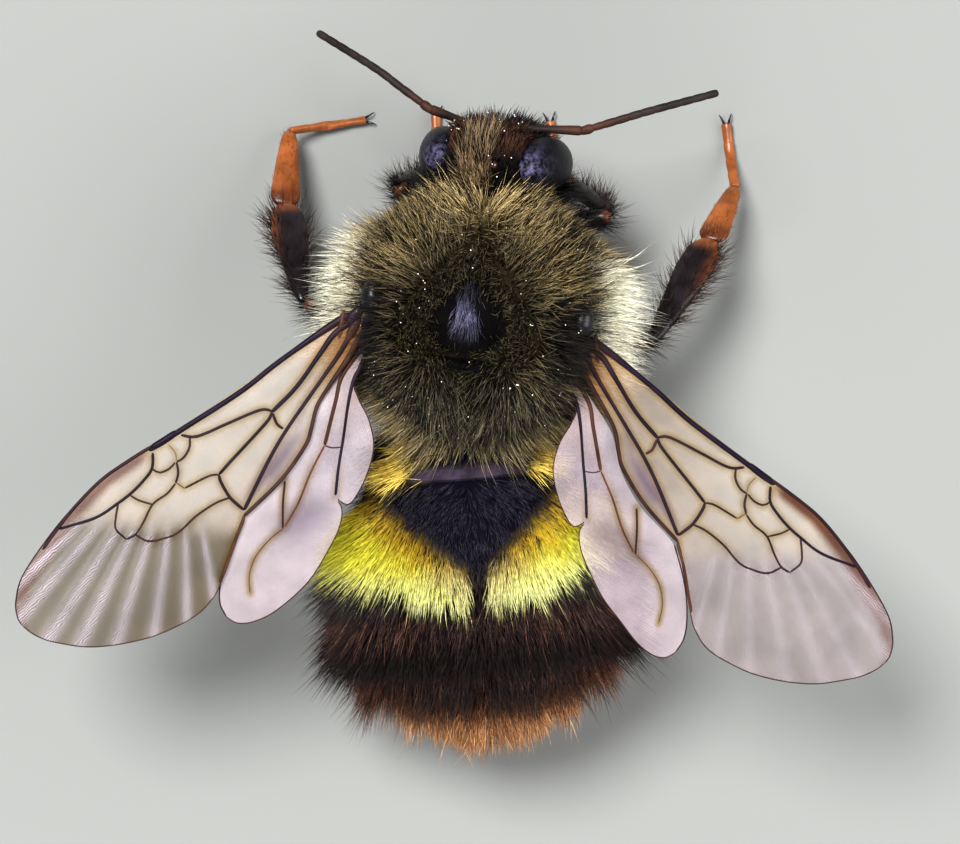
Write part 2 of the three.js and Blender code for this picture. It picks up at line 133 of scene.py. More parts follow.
HINDWING_TRAIL = [(-0.1, 0.72), (0.4, 0.93), (0.95, 1.25), (1.08, 1.6), (1.2, 2.05), (1.5, 2.55),
                  (2.05, 2.93), (2.62, 3.14), (2.78, 3.08), (2.84, 2.86), (2.9, 3.12), (3.2, 3.38),
                  (3.7, 3.6), (4.5, 3.84), (5.4, 3.86), (5.95, 3.72), (6.25, 3.5), (6.33, 3.25)]

# Veins: half width in mm, amber share (0 dark, 1 orange-brown), then points on the wing.
FOREWING_VEINS = [
    (0.066, 0.0, [(0.0, 0.02), (0.75, -0.09), (1.85, -0.2), (2.9, -0.25), (4.4, -0.46), (5.25, -0.58)]),
    (0.085, 0.0, [(4.5, -0.49), (4.85, -0.53), (5.2, -0.59)]),
    (0.042, 0.15, [(5.1, -0.6), (5.6, -0.68), (6.4, -0.77), (7.2, -0.71), (7.9, -0.58), (8.4, -0.45)]),
    (0.05, 0.0, [(0.1, 0.16), (0.55, 0.13), (1.05, 0.25), (1.9, 0.46), (2.67, 0.53)]),
    (0.036, 0.1, [(2.65, 0.53), (2.77, 0.37), (3.05, 0.25), (3.6, 0.08), (4.25, -0.13), (4.5, -0.38)]),
    (0.039, 0.05, [(2.67, 0.53), (2.85, 0.61), (3.45, 0.69), (4.07, 0.76), (4.43, 0.81)]),
    (0.027, 0.1, [(4.43, 0.81), (4.62, 0.69), (5.18, 0.55)]),
    (0.039, 0.1, [(4.43, 0.81), (4.5, 0.95), (4.57, 1.3), (4.56, 1.5), (4.52, 1.75)]),
    (0.027, 0.15, [(6.66, 0.61), (6.54, 0.9), (6.25, 1.08), (5.9, 1.19), (5.4, 1.17), (4.9, 1.23),
                   (4.58, 1.34)]),
    (0.036, 0.2, [(2.67, 0.55), (2.76, 0.8), (2.72, 0.97)]),
    (0.044, 0.05, [(0.1, 0.27), (0.48, 0.43), (0.92, 0.57), (1.96, 0.84), (2.68, 1.03), (3.38, 1.27),
                   (4.52, 1.75)]),
    (0.047, 0.3, [(0.1, 0.5), (0.67, 0.72), (1.4, 0.92), (1.86, 1.08), (2.27, 1.37), (2.6, 1.56), (3.5, 1.78),
                  (4.62, 1.85)]),
    (0.036, 0.0, [(5.21, -0.49), (5.45, -0.24), (5.77, -0.16), (6.12, -0.13), (6.5, -0.15), (7.08, -0.23),
                  (7.84, -0.56)]),
    (0.029, 0.15, [(4.38, -0.22), (4.54, -0.05), (4.78, 0.03), (4.95, 0.0)]),
    (0.027, 0.2, [(5.45, -0.24), (5.39, -0.07), (5.17, 0.01), (4.98, -0.01)]),
    (0.012, 1.0, [(4.84, -0.4), (4.84, -0.18), (4.93, -0.02)]),
    (0.03, 0.1, [(4.95, 0.0), (5.08, 0.21), (5.27, 0.34)]),
    (0.017, 1.0, [(5.25, 0.33), (5.19, 0.56)]),
    (0.027, 0.15, [(5.27, 0.34), (5.56, 0.39), (5.94, 0.36), (6.36, 0.53), (6.66, 0.61), (6.87, 0.57)]),
    (0.025, 0.25, [(6.19, -0.12), (6.12, 0.09), (5.95, 0.36)]),
    (0.027, 0.15, [(6.5, -0.14), (6.72, 0.04), (6.9, 0.25), (6.87, 0.57)]),
    (0.039, 0.55, [(4.6, 1.84), (4.75, 1.95), (5.1, 2.13), (5.6, 2.42), (5.95, 2.6)]),
]
HINDWING_VEINS = [
    (0.046, 0.4, [(0.05, 0.68), (0.98, 0.92), (1.48, 1.26), (2.28, 1.82)]),
    (0.026, 0.8, [(2.28, 1.82), (2.91, 2.08), (3.53, 2.4), (4.1, 2.6)]),
    (0.036, 0.0, [(0.1, 0.78), (0.58, 1.04), (0.86, 1.15), (1.31, 1.48), (1.92, 2.01), (2.39, 2.41),
                  (2.81, 2.8)]),
    (0.022, 0.3, [(2.28, 1.82), (2.2, 1.96), (2.03, 2.09)]),
    (0.027, 0.1, [(3.44, 1.85), (3.79, 2.19), (4.15, 2.6)]),
    (0.016, 0.6, [(4.15, 2.6), (4.6, 2.6), (5.05, 2.7), (5.39, 2.92), (5.6, 3.2)]),
]
VEIN_TALL = 0.9                 # half height of a vein, as a share of its half width above
VEIN_WIDE = 0.92                # half width as built, as a share of it
FLAGELLUM_BEADS = 10

# Plates of the wing hinge on the wing's plan: centre, half length, half width, amber share.
HINGE_PLATES = (
    ((-0.05, 0.12, 0.05), 0.26, 0.13, 0.1),
    ((0.14, 0.3, 0.04), 0.3, 0.1, 0.4),
    ((-0.2, 0.36, 0.0), 0.24, 0.16, 0.0),
    ((0.3, 0.08, 0.03), 0.34, 0.07, 0.6),
    ((0.1, 0.55, -0.03), 0.3, 0.12, 0.1),
)

# The full coat's strands on each part.
THORAX_STRANDS = 33600
CREST_STRANDS = 960
HEAD_STRANDS = 8000
CREST_MIDDLE = THORAX_MIDLINE + 0.06
STRANDS_PER_PIECE = 12000       # the most that one mesh holds
BAKE_PATCH = 0.003              # each strand's share of the bake, across

# Lights: name, place in metres, strength, and the angle in degrees that softens its shadows.
LIGHTS = (
    ("key_light", (0.09, -0.10, 0.28), 4.7, 24.0),
    ("fill_light", (-0.24, 0.02, 0.20), 2.2, 50.0),
    ("back_light", (0.04, 0.28, 0.14), 1.7, 35.0),
)
VIEW_MIDDLE = (0.0, 2.43, 0.0)
FLOOR_HALF = 0.6                # metres


# ------------------------------------------------------------------ settings

def colour_setting(name, description, default):
    """A colour with a default."""
    return bpy.props.FloatVectorProperty(
        name=name, description=description, default=default, subtype="COLOR", size=3, min=0.0, max=1.0)


def share_setting(name, description, default):
    """A factor from 0 to 2."""
    return bpy.props.FloatProperty(
        name=name, description=description, default=default, min=0.0, max=2.0, subtype="FACTOR")


class BumblebeeCoatSettings(bpy.types.PropertyGroup):
    """Colours and fullness of the coat."""

    strands: share_setting("Strands", "Number of strands, as a share of the full coat", 1.0)
    length: share_setting("Length", "Length of the strands, as a share of the natural one", 1.0)
    olive: colour_setting("Olive", "Pile of the thorax", (0.50, 0.375, 0.17))
    tan: colour_setting("Tan", "Pile at the front of the thorax", (0.90, 0.685, 0.335))
    stone: colour_setting("Stone", "Greyish pile of the hind part of the thorax", (0.28, 0.235, 0.14))
    cream: colour_setting("Cream", "Pile of the sides below the wings", (1.0, 0.97, 0.79))
    black: colour_setting("Black", "Black hairs", (0.006, 0.005, 0.005))
    violet: colour_setting("Violet", "Short blue-black pile of the second ring", (0.014, 0.012, 0.028))
    brown: colour_setting("Brown", "Black-brown pile of the third and fourth rings", (0.027, 0.016, 0.015))
    # Glint: red-brown light caught on some dark hairs of the abdomen, a painted glint; the legs' fringe tips
    # use it too.
    glint: colour_setting("Glint", "Red-brown hairs among the dark ones", (0.085, 0.038, 0.026))
    gold: colour_setting("Gold", "Golden brown where the yellow band starts", (0.52, 0.33, 0.02))
    lemon: colour_setting("Lemon", "Yellow band", (0.76, 0.71, 0.06))
    pale: colour_setting("Pale", "Pale tips of the yellow band", (0.82, 0.86, 0.50))
    moss: colour_setting("Moss", "Olive-yellow side tufts of the first ring", (1.0, 0.76, 0.17))
    rust: colour_setting("Rust", "Tail pile", (0.32, 0.105, 0.03))
    straw: colour_setting("Straw", "Pale tips of the tail pile", (0.80, 0.50, 0.25))
    fawn: colour_setting("Fawn", "Tuft between the eyes", (0.36, 0.25, 0.14))
    brow: colour_setting("Brow", "Red-brown hair of the brow", (0.12, 0.05, 0.028))
    # The crest's lilac is brightened along the tuft as a painted highlight.
    crest: colour_setting("Crest", "Little tuft on the bare patch of the thorax", (0.23, 0.22, 0.34))
    pollen: colour_setting("Pollen", "Pollen grains on the pile", (0.85, 0.84, 0.78))
    amber: colour_setting("Amber", "Hairs of the feet", (0.36, 0.13, 0.035))


class BumblebeeShellSettings(bpy.types.PropertyGroup):
    """Colours of the bare parts."""

    shell: colour_setting("Shell", "Bare cuticle", (0.006, 0.005, 0.009))
    eye: colour_setting("Eye", "Compound eyes", (0.002, 0.002, 0.004))
    # Eye reflection: the lilac of the clouds on top of the eyes, a painted reflection.
    eye_reflection: colour_setting("Eye lilac", "Clouds of lilac on the eyes", (0.20, 0.18, 0.33))
    feeler: colour_setting("Feeler", "Antennae", (0.020, 0.013, 0.011))
    foot: colour_setting("Foot", "Tarsi", (0.25, 0.078, 0.022))
    foot_dark: colour_setting("Foot dark", "Where the foot joins the leg", (0.09, 0.025, 0.010))
    leg: colour_setting("Leg", "Femora and tibiae", (0.012, 0.008, 0.010))
    # The bare band is lighter than the shell: a painted sheen.
    bare_sheen_band: colour_setting("Polished", "Bare hind edge of the first abdomen ring", (0.045, 0.034, 0.05))
    tongue: colour_setting("Tongue", "Folded tongue and its sheath", (0.16, 0.05, 0.02))
    vein: colour_setting("Vein", "Dark wing veins", (0.011, 0.006, 0.015))
    vein_amber: colour_setting("Vein amber", "Brown veins", (0.11, 0.042, 0.012))
    membrane: colour_setting("Membrane", "Clear cells of the wing membrane", (0.50, 0.39, 0.30))
    membrane_pink: colour_setting("Membrane pink", "Membrane of the hindwing", (0.55, 0.45, 0.49))
    membrane_smoke: colour_setting("Membrane smoke", "Outer part of the forewing", (0.065, 0.043, 0.015))
    # Fold colour: a painted highlight on the forewing's pleats, and greyer wavy lines on the hindwing near
    # its root.
    membrane_fold_light_and_shade: colour_setting("Membrane streak", "Pale pleats of the membrane", (0.44, 0.38, 0.42))
    membrane_brown: colour_setting("Membrane brown", "Front edge of the wing", (0.085, 0.030, 0.013))
    membrane_halo: colour_setting("Membrane halo", "Membrane beside the veins", (0.20, 0.13, 0.035))
    membrane_dusk: colour_setting("Membrane dusk", "Violet shadow of the hind part", (0.09, 0.055, 0.10))
    membrane_root: colour_setting("Membrane root", "Membrane at the wing base", (0.26, 0.11, 0.03))


class BumblebeeStageSettings(bpy.types.PropertyGroup):
    """Floor, light and camera."""

    floor: colour_setting("Floor", "Floor colour", (0.245, 0.25, 0.24))
    camera_height: bpy.props.FloatProperty(
        name="Camera height", description="Height of the camera over the floor", default=0.12, unit="LENGTH")
    view_width: bpy.props.FloatProperty(
        name="View width", description="Width seen at the level of the wings", default=0.02087, unit="LENGTH")


def coat():
    """The settings of the coat."""
    return bpy.context.scene.bumblebee_coat


def shell():
    """The settings of the bare parts."""
    return bpy.context.scene.bumblebee_shell


def stage():
    """The settings of floor, light and camera."""
    return bpy.context.scene.bumblebee_stage


def rgb(colour):
    """A colour setting as an array."""
    return np.array(colour[:3])


# ------------------------------------------------------------------ numbers on arrays

def signed_power(value, exponent):
    """The absolute value raised to a power, with its sign kept."""
    return np.sign(value) * np.abs(value) ** exponent


def ramp(value, low, high):
    """0 at low, 1 at high, with an S-shaped rise between them; low may be the larger."""
    share = np.clip((value - low) / (high - low), 0.0, 1.0)
    return share * share * (3.0 - 2.0 * share)


def hump(value, centre, width):
    """A bell: 1 at the centre, falling as the square of the distance over the width."""
    return np.exp(-((value - centre) / width) ** 2)


def unit(vectors):
    """Vectors scaled to length 1."""
    return vectors / np.maximum(np.linalg.norm(vectors, axis=-1, keepdims=True), 1e-12)


def mixed(first, second, share):
    """first where share is 0, second where it is 1, for rows of colours or vectors."""
    return first + (second - first) * np.asarray(share)[..., None]


def triples(x, y, z):
    """Rows of three, where x, y and z are arrays or single numbers."""
    return np.stack(np.broadcast_arrays(x, y, z), axis=-1)


def rotation(yaw=0.0, tilt=0.0, roll=0.0):
    """The turn about Y by roll, then about X by tilt, then about Z by yaw, in degrees."""
    a, b, c = (math.radians(angle) for angle in (yaw, tilt, roll))
    about_z = np.array([[math.cos(a), -math.sin(a), 0], [math.sin(a), math.cos(a), 0], [0, 0, 1]])
    about_x = np.array([[1, 0, 0], [0, math.cos(b), -math.sin(b)], [0, math.sin(b), math.cos(b)]])
    about_y = np.array([[math.cos(c), 0, math.sin(c)], [0, 1, 0], [-math.sin(c), 0, math.cos(c)]])
    return about_z @ about_x @ about_y


class Place:
    """A part's own frame in the standing animal."""

    def __init__(self, centre, turn):
        self.centre = np.asarray(centre, dtype=float)
        self.turn = turn

    def child(self, offset, turn):
        """A frame placed and turned inside this one."""
        return Place(self.points(np.asarray(offset, dtype=float)), self.turn @ turn)

    def points(self, local):
        """Points of this frame in the standing animal's frame."""
        return local @ self.turn.T + self.centre


THORAX = Place(THORAX_CENTRE, rotation(yaw=-7))
HEAD = Place((-0.33, -3.19, 4.3), rotation(yaw=-5, tilt=-8, roll=12))
ABDOMEN = Place((0.34, 2.43, 4.3), rotation(yaw=5, tilt=-8))


def smooth_path(points, count):
    """Places at even lengths along the Catmull-Rom curve through points: between two points
    each coordinate is the cubic whose end slopes are half the chord of the neighbours."""
    knots = np.asarray(points, dtype=float)
    padded = np.vstack([2 * knots[0] - knots[1], knots, 2 * knots[-1] - knots[-2]])
    share = np.linspace(0.0, 1.0, 24, endpoint=False)[:, None]
    before, start, end, after = (padded[k:k + len(knots) - 1, None, :] for k in range(4))
    fine = 0.5 * (2 * start + (end - before) * share
                  + (2 * before - 5 * start + 4 * end - after) * share ** 2
                  + (3 * start - before - 3 * end + after) * share ** 3)
    fine = np.vstack([fine.reshape(-1, knots.shape[1]), knots[-1]])
    travelled = np.concatenate([[0.0], np.cumsum(np.linalg.norm(np.diff(fine, axis=0), axis=1))])
    even = np.linspace(0.0, travelled[-1], count)
    return np.stack([np.interp(even, travelled, fine[:, k]) for k in range(knots.shape[1])], axis=1)


# ------------------------------------------------------------------ surfaces

def rounded(u, v, reach, roundness):
    """A superellipsoid. along = -cos(pi u) runs from front to back; each ring shrinks by the
    root of 1 - |along|^n, and its outline is cos and sin of 2 pi v to the power 2/n. reach
    says how far it goes left, right, front, back, up and down."""
    left, right, front, back, top, bottom = reach
    along = -np.cos(np.pi * u)
    ring = np.maximum(1.0 - np.abs(along) ** roundness, 0.0) ** (1.0 / roundness)
    across = signed_power(np.cos(FULL_TURN * v), 2.0 / roundness) * ring
    up = signed_power(np.sin(FULL_TURN * v), 2.0 / roundness) * ring
    return triples(across * np.where(across > 0, left, right), along * np.where(along > 0, back, front),
                   up * np.where(up > 0, top, bottom))


def thorax_skin(u, v):
    """The rounded thorax, pushed in along its furrows and out at the scutellum."""
    place = rounded(u, v, THORAX_REACH, THORAX_ROUNDNESS)
    x, y, z = np.moveaxis(place, -1, 0)
    on_top = ramp(z, 0.6, 1.6)
    side = x - THORAX_MIDLINE
    lift = -0.10 * hump(y, 1.22, 0.08) * ramp(np.abs(side), 1.5, 1.0) * on_top
    lift += 0.10 * hump(y, 1.7, 0.4) * hump(side, 0.0, 1.1) * on_top
    lift -= 0.03 * hump(side, 0.0, 0.05) * ramp(y, 0.2, -0.4) * on_top
    return place + unit(place) * lift[..., None]


def head_skin(u, v):
    """The rounded head, with a raised shield over the mouth, a dip at each feeler's socket,
    a furrow down the brow and a low crown that carries the ocelli."""
    place = rounded(u, v, HEAD_REACH, HEAD_ROUNDNESS)
    x, y, z = np.moveaxis(place, -1, 0)
    face = ramp(y, -0.1, -0.6)
    lift = 0.16 * hump(x, 0.0, 0.55) * hump(z, -0.85, 0.5) * face
    lift -= 0.07 * hump(np.abs(x), 0.42, 0.16) * hump(z, 0.05, 0.18) * face
    lift -= 0.03 * hump(x, 0.0, 0.05) * ramp(z, 0.1, 0.4) * face
    lift += 0.06 * hump(x, 0.0, 0.5) * ramp(z, 1.2, 1.6)
    return place + unit(place) * lift[..., None]


def abdomen_skin(u, v):
    """The abdomen at the share u of its length and v round it. Half width is the root-like
    power of sin(pi t^late) at t = u; each ring of it widens a little towards its hind edge
    and steps back in, and the spine bends down as t^2.5."""
    s = u * ABDOMEN_LENGTH
    bulge = np.maximum(np.sin(np.pi * u ** ABDOMEN_WIDEST_LATE), 0.0)
    ring = np.clip(np.searchsorted(TERGITE_EDGES, s, side="right") - 1, 0, 5)
    start, end = TERGITE_EDGES[ring], TERGITE_EDGES[ring + 1]
    flare = np.where(ring < 5, 0.035 * ((s - start) / (end - start)) ** 3, 0.0)
    width = ABDOMEN_HALF_WIDTH * bulge ** ABDOMEN_FULLNESS * (1.0 + flare)
    up = np.sin(FULL_TURN * v)
    height = width * np.where(up > 0, ABDOMEN_TOP, ABDOMEN_BOTTOM)
    spine = -0.15 - ABDOMEN_DROP * u ** 2.5
    return triples(width * signed_power(np.cos(FULL_TURN * v), ABDOMEN_SQUARENESS), s,
                   spine + height * signed_power(up, ABDOMEN_SQUARENESS))


def limb_skin(path, flat, half_width, half_depth, bluntness=10):
    """A limb's surface as a function of u along the path and v round it. The section is an
    ellipse, half_width(u) along the flat direction and half_depth(u) across it, and both
    shrink at the ends as the root of 1 - |2u - 1|^bluntness."""
    route = smooth_path(path, 200)
    grid = np.linspace(0.0, 1.0, len(route))
    heading = unit(np.gradient(route, axis=0))
    flat = np.asarray(flat, dtype=float)

    def at(values, u):
        return triples(*(np.interp(u, grid, column) for column in values.T))

    def surface(u, v):
        u, v = np.broadcast_arrays(u, v)
        forward = unit(at(heading, u))
        wide = unit(flat - (forward @ flat)[..., None] * forward)
        deep = np.cross(forward, wide)
        closing = np.sqrt(np.maximum(1.0 - np.abs(2.0 * u - 1.0) ** bluntness, 0.0))
        across = (np.cos(FULL_TURN * v) * closing * half_width(u))[..., None]
        over = (np.sin(FULL_TURN * v) * closing * half_depth(u))[..., None]
        return at(route, u) + across * wide + over * deep

    return surface


def through(*pairs):
    """A function with straight stretches through (place, value) pairs."""
    places, values = zip(*pairs)
    return lambda u: np.interp(u, places, values)


# ------------------------------------------------------------------ meshes

def facing_out(points, triangles):
    """The triangles of a closed surface, reversed if they enclose a negative volume."""
    a, b, c = (points[triangles[:, k]] for k in range(3))
    volume = np.einsum("ij,ij->i", a, np.cross(b, c)).sum()
    return triangles[:, ::-1] if volume < 0 else triangles


def closed(first, rings, last):
    """A closed surface from a first point, an array of rings and a last point."""
    rows, around = rings.shape[:2]
    points = np.vstack([first, rings.reshape(-1, 3), last])
    i, j = np.meshgrid(np.arange(rows - 1), np.arange(around), indexing="ij")
    a = (1 + i * around + j).ravel()
    b = (1 + i * around + (j + 1) % around).ravel()
    j = np.arange(around)
    top = 1 + j
    bottom = 1 + (rows - 1) * around + j
    triangles = np.vstack([
        triples(a, b, b + around),
        triples(a, b + around, a + around),
        triples(0, np.roll(top, -1), top),
        triples(len(points) - 1, bottom, np.roll(bottom, -1)),
    ])
    return points, facing_out(points, triangles)


def solid_of(surface, rows, around):
    """The closed mesh of a surface whose ends at u = 0 and u = 1 are single points. rows is
    the number of even steps between them, or an array of the rings' own u."""
    u = np.linspace(0.0, 1.0, rows + 1)[1:-1] if np.isscalar(rows) else rows
    v = np.arange(around) / around
    rings = surface(*np.meshgrid(u, v, indexing="ij"))
    ends = surface(np.array([0.0, 1.0]), np.array([0.0, 0.0]))
    return closed(ends[0], rings, ends[1])


def ellipsoid(half, rows, around, roundness=2.0):
    """The closed mesh of a superellipsoid with three half axes, round its own centre."""
    x, y, z = half
    return solid_of(lambda u, v: rounded(u, v, (x, x, y, y, z, z), roundness), rows, around)


def joined(parts):
    """Several meshes, each (points, triangles), as one."""
    starts = np.cumsum([0] + [len(points) for points, _ in parts[:-1]])
    return (np.vstack([points for points, _ in parts]),
            np.vstack([triangles + start for (_, triangles), start in zip(parts, starts)]))


def piece(name, points, triangles, material, replaced=(), colours=None, bake=None, places=None):
    """A mesh object from arrays in mm, riding on the animal, with what it replaces hidden.
    colours has three or four columns, the fourth the opacity of a film."""
    mesh = bpy.data.meshes.new(name)
    mesh.vertices.add(len(points))
    mesh.vertices.foreach_set("co", ((points + SHIFT) * MM).astype(np.float32).ravel())
    mesh.loops.add(3 * len(triangles))
    mesh.loops.foreach_set("vertex_index", triangles.astype(np.int32).ravel())
    mesh.polygons.add(len(triangles))
    mesh.polygons.foreach_set("loop_start", np.arange(0, 3 * len(triangles), 3, dtype=np.int32))
    mesh.polygons.foreach_set("use_smooth", np.ones(len(triangles), dtype=bool))
    if colours is not None:
        shade = mesh.color_attributes.new("shade", "FLOAT_COLOR", "POINT")
        full = np.hstack([colours, np.ones((len(colours), 4 - colours.shape[1]))])
        shade.data.foreach_set("color", full.astype(np.float32).ravel())
    if places is not None:
        attribute = mesh.attributes.new("wing_place", "FLOAT_VECTOR", "POINT")
        attribute.data.foreach_set("vector", places.astype(np.float32).ravel())
    if bake is not None:
        layer = mesh.uv_layers.new(name="OFBake")
        layer.uv.foreach_set("vector", bake[triangles.ravel()].astype(np.float32).ravel())
    mesh.materials.append(material)
    mesh.update(calc_edges=True)
    made = bpy.data.objects.new(name, mesh)
    bpy.context.scene.collection.objects.link(made)
    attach(made, "root")
    if replaced:
        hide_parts(*replaced)
    return made


# ------------------------------------------------------------------ shader nodes

def fill_in(made, values):
    """Set a node's properties and inputs by name, or by place as in0, in1 and so on; a
    socket is linked."""
    for key, value in values.items():
        if hasattr(made, key):
            setattr(made, key, value)
            continue
        is_place = key.startswith("in") and key[2:].isdigit()
        socket = made.inputs[int(key[2:]) if is_place else key.replace("_", " ")]
        if isinstance(value, bpy.types.NodeSocket):
            made.id_data.links.new(value, socket)
        else:
            socket.default_value = value
    return made


def node(tree, kind, **values):
    """A new node with its properties and inputs set."""
    return fill_in(tree.nodes.new(kind), values)


def maths(tree, operation, *values, **more):
    """The output of a Math node on sockets or numbers."""
    inputs = {f"in{k}": value for k, value in enumerate(values)}
    return node(tree, "ShaderNodeMath", operation=operation, **inputs, **more).outputs[0]


def remapped(tree, value, low, high, to_low=0.0, to_high=1.0):
    """The output of a Map Range node: low to high is brought onto to_low to to_high."""
    made = node(tree, "ShaderNodeMapRange", Value=value, From_Min=low, From_Max=high,
                To_Min=to_low, To_Max=to_high)
    return made.outputs["Result"]


def scaled_colour(tree, colour, factor):
    """The output of a node that multiplies a colour by a number."""
    made = node(tree, "ShaderNodeVectorMath", operation="SCALE", in0=colour, Scale=factor)
    return made.outputs["Vector"]


def blended(tree, share, first, second):
    """The output of a Mix node: first where share is 0, second where it is 1."""
    made = node(tree, "ShaderNodeMix", data_type="RGBA", Factor=share, in6=first, in7=second)
    return made.outputs[2]


def object_place(tree):
    """The output that holds the place on the piece."""
    return node(tree, "ShaderNodeTexCoord").outputs["Object"]


# ------------------------------------------------------------------ shader node groups

def node_group(name, inputs, outputs):
    """An empty shader node group with named sockets; returns it with its two end nodes."""
    group = bpy.data.node_groups.new(name, "ShaderNodeTree")
    kinds = {"colour": "NodeSocketColor", "number": "NodeSocketFloat"}
    for label, kind, default in inputs:
        socket = group.interface.new_socket(name=label, in_out="INPUT", socket_type=kinds[kind])
        socket.default_value = default
    for label, kind in outputs:
        group.interface.new_socket(name=label, in_out="OUTPUT", socket_type=kinds[kind])
    return group, group.nodes.new("NodeGroupInput").outputs, group.nodes.new("NodeGroupOutput")


def strand_variation_group():
    """Lightens and darkens a colour by noise, so that neighbouring strands differ."""
    group, given, end = node_group(
        "strand variation",
        [("Colour", "colour", (0.5, 0.5, 0.5, 1)), ("Scale", "number", 9000.0), ("Spread", "number", 0.5)],
        [("Colour", "colour"), ("Roughness", "number")])
    noise = node(group, "ShaderNodeTexNoise", Vector=object_place(group), Scale=given["Scale"],
                 Detail=2.0).outputs["Fac"]
    low = maths(group, "SUBTRACT", 1.0, given["Spread"])
    high = maths(group, "ADD", 1.0, given["Spread"])
    tinted = scaled_colour(group, given["Colour"], remapped(group, noise, 0.3, 0.7, low, high))
    fill_in(end, {"Colour": tinted, "Roughness": remapped(group, noise, 0.0, 1.0, 0.45, 0.7)})
    return group


def shell_grain_group():
    """Pits and fine leathery grain of bare cuticle: colour, roughness and height."""
    group, given, end = node_group(
        "shell grain",
        [("Colour", "colour", (0.02, 0.02, 0.02, 1)), ("Pit Scale", "number", 16000.0),
         ("Contrast", "number", 0.35), ("Roughness", "number", 0.3)],
        [("Colour", "colour"), ("Roughness", "number"), ("Height", "number")])
    where = object_place(group)
    pits = node(group, "ShaderNodeTexVoronoi", Vector=where, Scale=given["Pit Scale"]).outputs["Distance"]
    cloud = node(group, "ShaderNodeTexNoise", Vector=where, Scale=2500.0, Detail=4.0).outputs["Fac"]
    rim = remapped(group, pits, 0.0, 0.35)
    darker = maths(group, "SUBTRACT", 1.0, given["Contrast"])
    lighter = maths(group, "ADD", 1.0, given["Contrast"])
    fill_in(end, {
        "Colour": scaled_colour(group, given["Colour"], remapped(group, cloud, 0.35, 0.65, darker, lighter)),
        "Roughness": maths(group, "MULTIPLY_ADD", cloud, 0.12, given["Roughness"]),
        "Height": maths(group, "MULTIPLY_ADD", cloud, 0.3, rim),
    })
    return group


def eye_facets_group():
    """Rows of domed facets over the eye, and painted reflections as lilac clouds over its blue-black."""
    group, given, end = node_group(
        "eye facets",
        [("Dark", "colour", (0.01, 0.01, 0.02, 1)), ("Lilac", "colour", (0.1, 0.1, 0.18, 1)),
         ("Cloud", "number", 1.0), ("Facets", "number", 34000.0)],
        [("Colour", "colour"), ("Height", "number")])
    where = object_place(group)
    cells = node(group, "ShaderNodeTexVoronoi", Vector=where, Scale=given["Facets"], Randomness=0.3)
    dome = remapped(group, cells.outputs["Distance"], 0.0, 0.7, 1.0, 0.0)
    cloud = node(group, "ShaderNodeTexNoise", Vector=where, Scale=7000.0, Detail=5.0, Roughness=0.7)
    # Painted reflection: where the lilac clouds lie.
    veil = remapped(group, cloud.outputs["Fac"], 0.42, 0.68)
    share = maths(group, "MULTIPLY", veil, given["Cloud"])
    fill_in(end, {"Colour": blended(group, share, given["Dark"], given["Lilac"]), "Height": dome})
    return group


def wing_film_group():
    """Detail of the membrane from its place on the wing (x out, y back, in mm, and the share
    of pleat there): fine wavy wrinkles along the pleats, painted in the fold colour, and rows
    of tiny hairs."""
    group, given, end = node_group(
        "wing film",
        [("Film", "colour", (0.7, 0.6, 0.55, 1)), ("Opacity", "number", 0.4),
         ("Streak", "colour", (0.9, 0.85, 0.9, 1))],
        [("Colour", "colour"), ("Alpha", "number"), ("Height", "number")])
    where = node(group, "ShaderNodeAttribute", attribute_name="wing_place")
    x, y, pleat = node(group, "ShaderNodeSeparateXYZ", Vector=where.outputs["Vector"]).outputs
    flat = node(group, "ShaderNodeCombineXYZ", X=x, Y=y).outputs[0]
    out = maths(group, "SUBTRACT", x, PLEAT_CENTRE[0])
    back = maths(group, "SUBTRACT", y, PLEAT_CENTRE[1])
    angle = maths(group, "ARCTAN2", back, out)
    squared = maths(group, "MULTIPLY_ADD", back, back, maths(group, "MULTIPLY", out, out))
    radius = maths(group, "SQRT", squared)

    # Wrinkles are narrow waves side by side, each wandering as it runs along the pleat.
    fan = node(group, "ShaderNodeCombineXYZ", X=maths(group, "MULTIPLY", angle, radius), Y=radius).outputs[0]
    wrinkles = node(group, "ShaderNodeTexWave", Vector=fan, Scale=6.0, Distortion=7.0, Detail=1.0,
                    Detail_Scale=0.9)
    lines = remapped(group, wrinkles.outputs["Fac"], 0.3, 0.8)
    hair_rows = node(group, "ShaderNodeTexVoronoi", Vector=flat, Scale=24.0, Randomness=0.7)
    dots = remapped(group, hair_rows.outputs["Distance"], 0.05, 0.45, 0.7, 1.08)
    blotch = node(group, "ShaderNodeTexNoise", Vector=flat, Scale=1.3, Detail=3.0)
    uneven = remapped(group, blotch.outputs["Fac"], 0.3, 0.7, 0.8, 1.18)
    # The fold colour, a painted highlight over the forewing's smoke, follows the wrinkles on the pleats.
    pale = maths(group, "MULTIPLY", maths(group, "MULTIPLY_ADD", lines, 0.6, 0.3), pleat)
    film = blended(group, pale, given["Film"], given["Streak"])
    denser = maths(group, "ADD", given["Opacity"], maths(group, "MULTIPLY_ADD", dots, -0.12, 0.12))
    fill_in(end, {
        "Colour": scaled_colour(group, film, maths(group, "MULTIPLY", dots, uneven)),
        "Alpha": maths(group, "MULTIPLY_ADD", pale, 0.12, denser, use_clamp=True),
        "Height": maths(group, "MULTIPLY_ADD", dots, -0.5, maths(group, "MULTIPLY", lines, pleat)),
    })
    return group


GROUP_MAKERS = {
    "strand variation": strand_variation_group,
    "shell grain": shell_grain_group,
    "eye facets": eye_facets_group,
    "wing film": wing_film_group,
}


